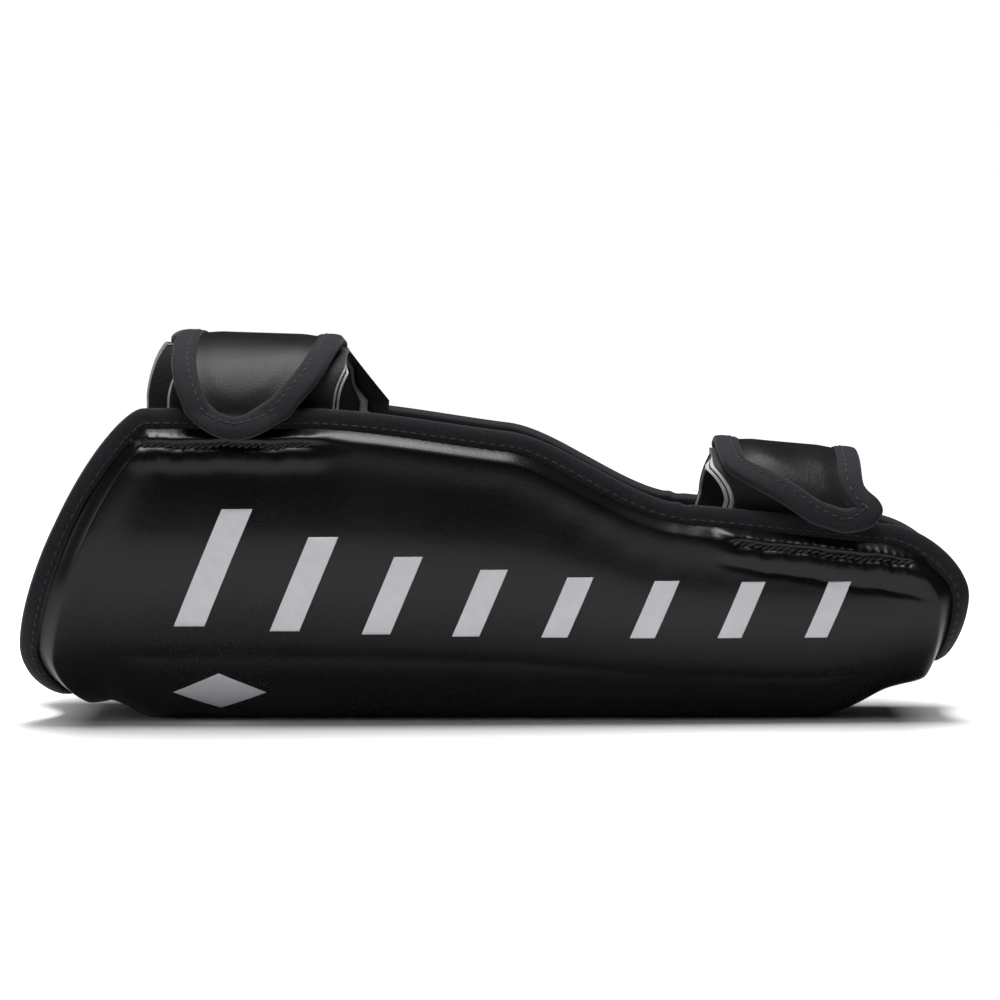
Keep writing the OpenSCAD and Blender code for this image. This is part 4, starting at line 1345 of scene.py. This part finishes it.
def build_flap(k, what, left, right, span, paint, slot, nodes):
    """A layer of the flap, sewn in below the near edge."""
    cols, f_rows = 56, np.linspace(0.03, 2.0, 44)
    ends, out_to = smooth(f_rows / 1.2), 1 - smooth((f_rows - 0.75 - 0.2 * k) / 0.5)
    x = spread(mixed(FLAP_X[k][0], FLAP_END[k][0], ends) + left * out_to,
               mixed(FLAP_X[k][1], FLAP_END[k][1], ends) - right * out_to, cols)
    f = np.broadcast_to(f_rows[:, None], x.shape)
    # A soft fold down the flap, so its edges aren't ruled lines.
    fold = 0.6 * np.sin((x - FLAP_X[k][0]) / 7.0) * hump(f, 0.7, 0.45)
    faces = []
    for d in span:
        root = inside_band(-1, FLAP_X[k][0] + left, FLAP_X[k][1] - right, cols, d)
        faces.append(np.concatenate([root, flap_at(k, x, f, d + fold)]))
    sewn_sheet(k, what, faces[0], faces[1], (paint, slot), nodes, root_bend(k, "flap", flap_line), False)


for end in range(len(ENDS)):
    build_panels(end)
    build_leather(end)
    build_strap_tape(end)
    build_panel_stitches(end)
    for what_layer, lefts, rights, *rest in FLAP_LAYERS:
        build_flap(end, what_layer, lefts[end], rights[end], *rest)


# ---------------------------------------------------------------- floor, light and camera
def floor_paint():
    """A pale floor that runs on to white with distance, as an evenly lit backdrop does, with painted light past the
    guard's ends that washes out its shadow there.
    """
    p = Paint("floor_white")
    spot = p.add("ShaderNodeNewGeometry").outputs["Position"]
    seen = p.add("ShaderNodeLightPath").outputs["Is Camera Ray"]
    length = p.add("ShaderNodeVectorMath", operation="LENGTH")
    p.link(spot, length.inputs[0])
    reach = length.outputs["Value"]
    behind = p.level(reach, 0.28, 0.9, 0.0, 1.05, "LINEAR")
    # Painted light: to camera rays the floor glows past the guard's ends, which washes out the shadow cast there.
    painted_light_past_ends = p.level(p.math("ABSOLUTE", p.axis(0, spot)), 0.165, 0.225, 0.0, 0.75, "LINEAR")
    glow = p.math("MULTIPLY", seen, p.math("MAXIMUM", behind, painted_light_past_ends))
    # What the object mirrors of the floor far off is dark, as a studio's edges are.
    mirrored = p.math("SUBTRACT", p.level(reach, 0.45, 1.1, 0.0, 1.0, "LINEAR"), seen)
    mirrored.node.use_clamp = True
    tone = p.mix(mirrored, (0.93, 0.93, 0.93), (0.03, 0.03, 0.03))
    return p.set(colour=tone, rough=0.7, spec=0.1, glow=(1, 1, 1), glow_strength=glow)


def build_floor():
    mesh = bpy.data.meshes.new("floor")
    mesh.from_pydata([(-9, -6, 0), (9, -6, 0), (9, 12, 0), (-9, 12, 0)], [], [(0, 1, 2, 3)])
    floor = bpy.data.objects.new("floor", mesh)
    floor.location.z = cad_lo.z - 0.0002
    mesh.materials.append(floor_paint())
    bpy.context.scene.collection.objects.link(floor)
    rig.stage(floor)


def area_light(name, where, at, size, power):
    light = bpy.data.lights.new(name, "AREA")
    light.shape = "RECTANGLE"
    light.size, light.size_y = size
    light.energy = power
    obj = bpy.data.objects.new(name, light)
    obj.location = where
    obj.rotation_mode = "QUATERNION"
    obj.rotation_quaternion = (Vector(at) - Vector(where)).to_track_quat("-Z", "Y")
    bpy.context.scene.collection.objects.link(obj)


def build_world(lit_strength):
    """White to the camera, and a weak even light on everything else."""
    world = bpy.data.worlds.new("world")
    world.use_nodes = True
    tree = world.node_tree
    tree.nodes.clear()
    out, mix, rays = (tree.nodes.new(f"ShaderNode{k}") for k in ("OutputWorld", "MixShader", "LightPath"))
    tree.links.new(rays.outputs["Is Camera Ray"], mix.inputs[0])
    for slot, strength in ((1, lit_strength), (2, 1.0)):
        white = tree.nodes.new("ShaderNodeBackground")
        white.inputs[0].default_value, white.inputs[1].default_value = (1, 1, 1, 1), strength
        tree.links.new(white.outputs[0], mix.inputs[slot])
    tree.links.new(mix.outputs[0], out.inputs[0])
    bpy.context.scene.world = world


def build_camera():
    camera = bpy.data.objects.new("camera", bpy.data.cameras.new("camera"))
    camera.data.sensor_width = 36.0
    camera.data.lens = 180.0
    camera.data.clip_end = 60
    camera.location = (0.0016, cad_lo.y - 2.0, 0.1843)
    camera.rotation_euler = (math.radians(90 - 2.62), 0, 0)
    bpy.context.scene.collection.objects.link(camera)
    bpy.context.scene.camera = camera


build_floor()
area_light("top_box", (-0.05, 0.02, 1.35), (0, 0.02, 0), (1.15, 0.75), 26)
area_light("front_top", (-0.05, -0.9, 1.2), (0, 0, 0.08), (1.3, 0.4), 2.0)
area_light("left_box", (-1.75, -1.0, 0.55), (0, 0, 0.06), (0.9, 0.9), 5.5)
area_light("front_panel", (-0.3, -3.2, 0.16), (0, 0, 0.06), (3.0, 0.35), 0.2)
build_world(0.025)
bpy.context.scene.view_settings.view_transform = "Standard"
build_camera()

bpy.context.view_layer.update()
now_lo, now_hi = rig.bounds()
with open("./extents.json", "w") as size_file:
    json.dump({"cad": [list(cad_lo), list(cad_hi)], "visual": [list(now_lo), list(now_hi)]}, size_file)
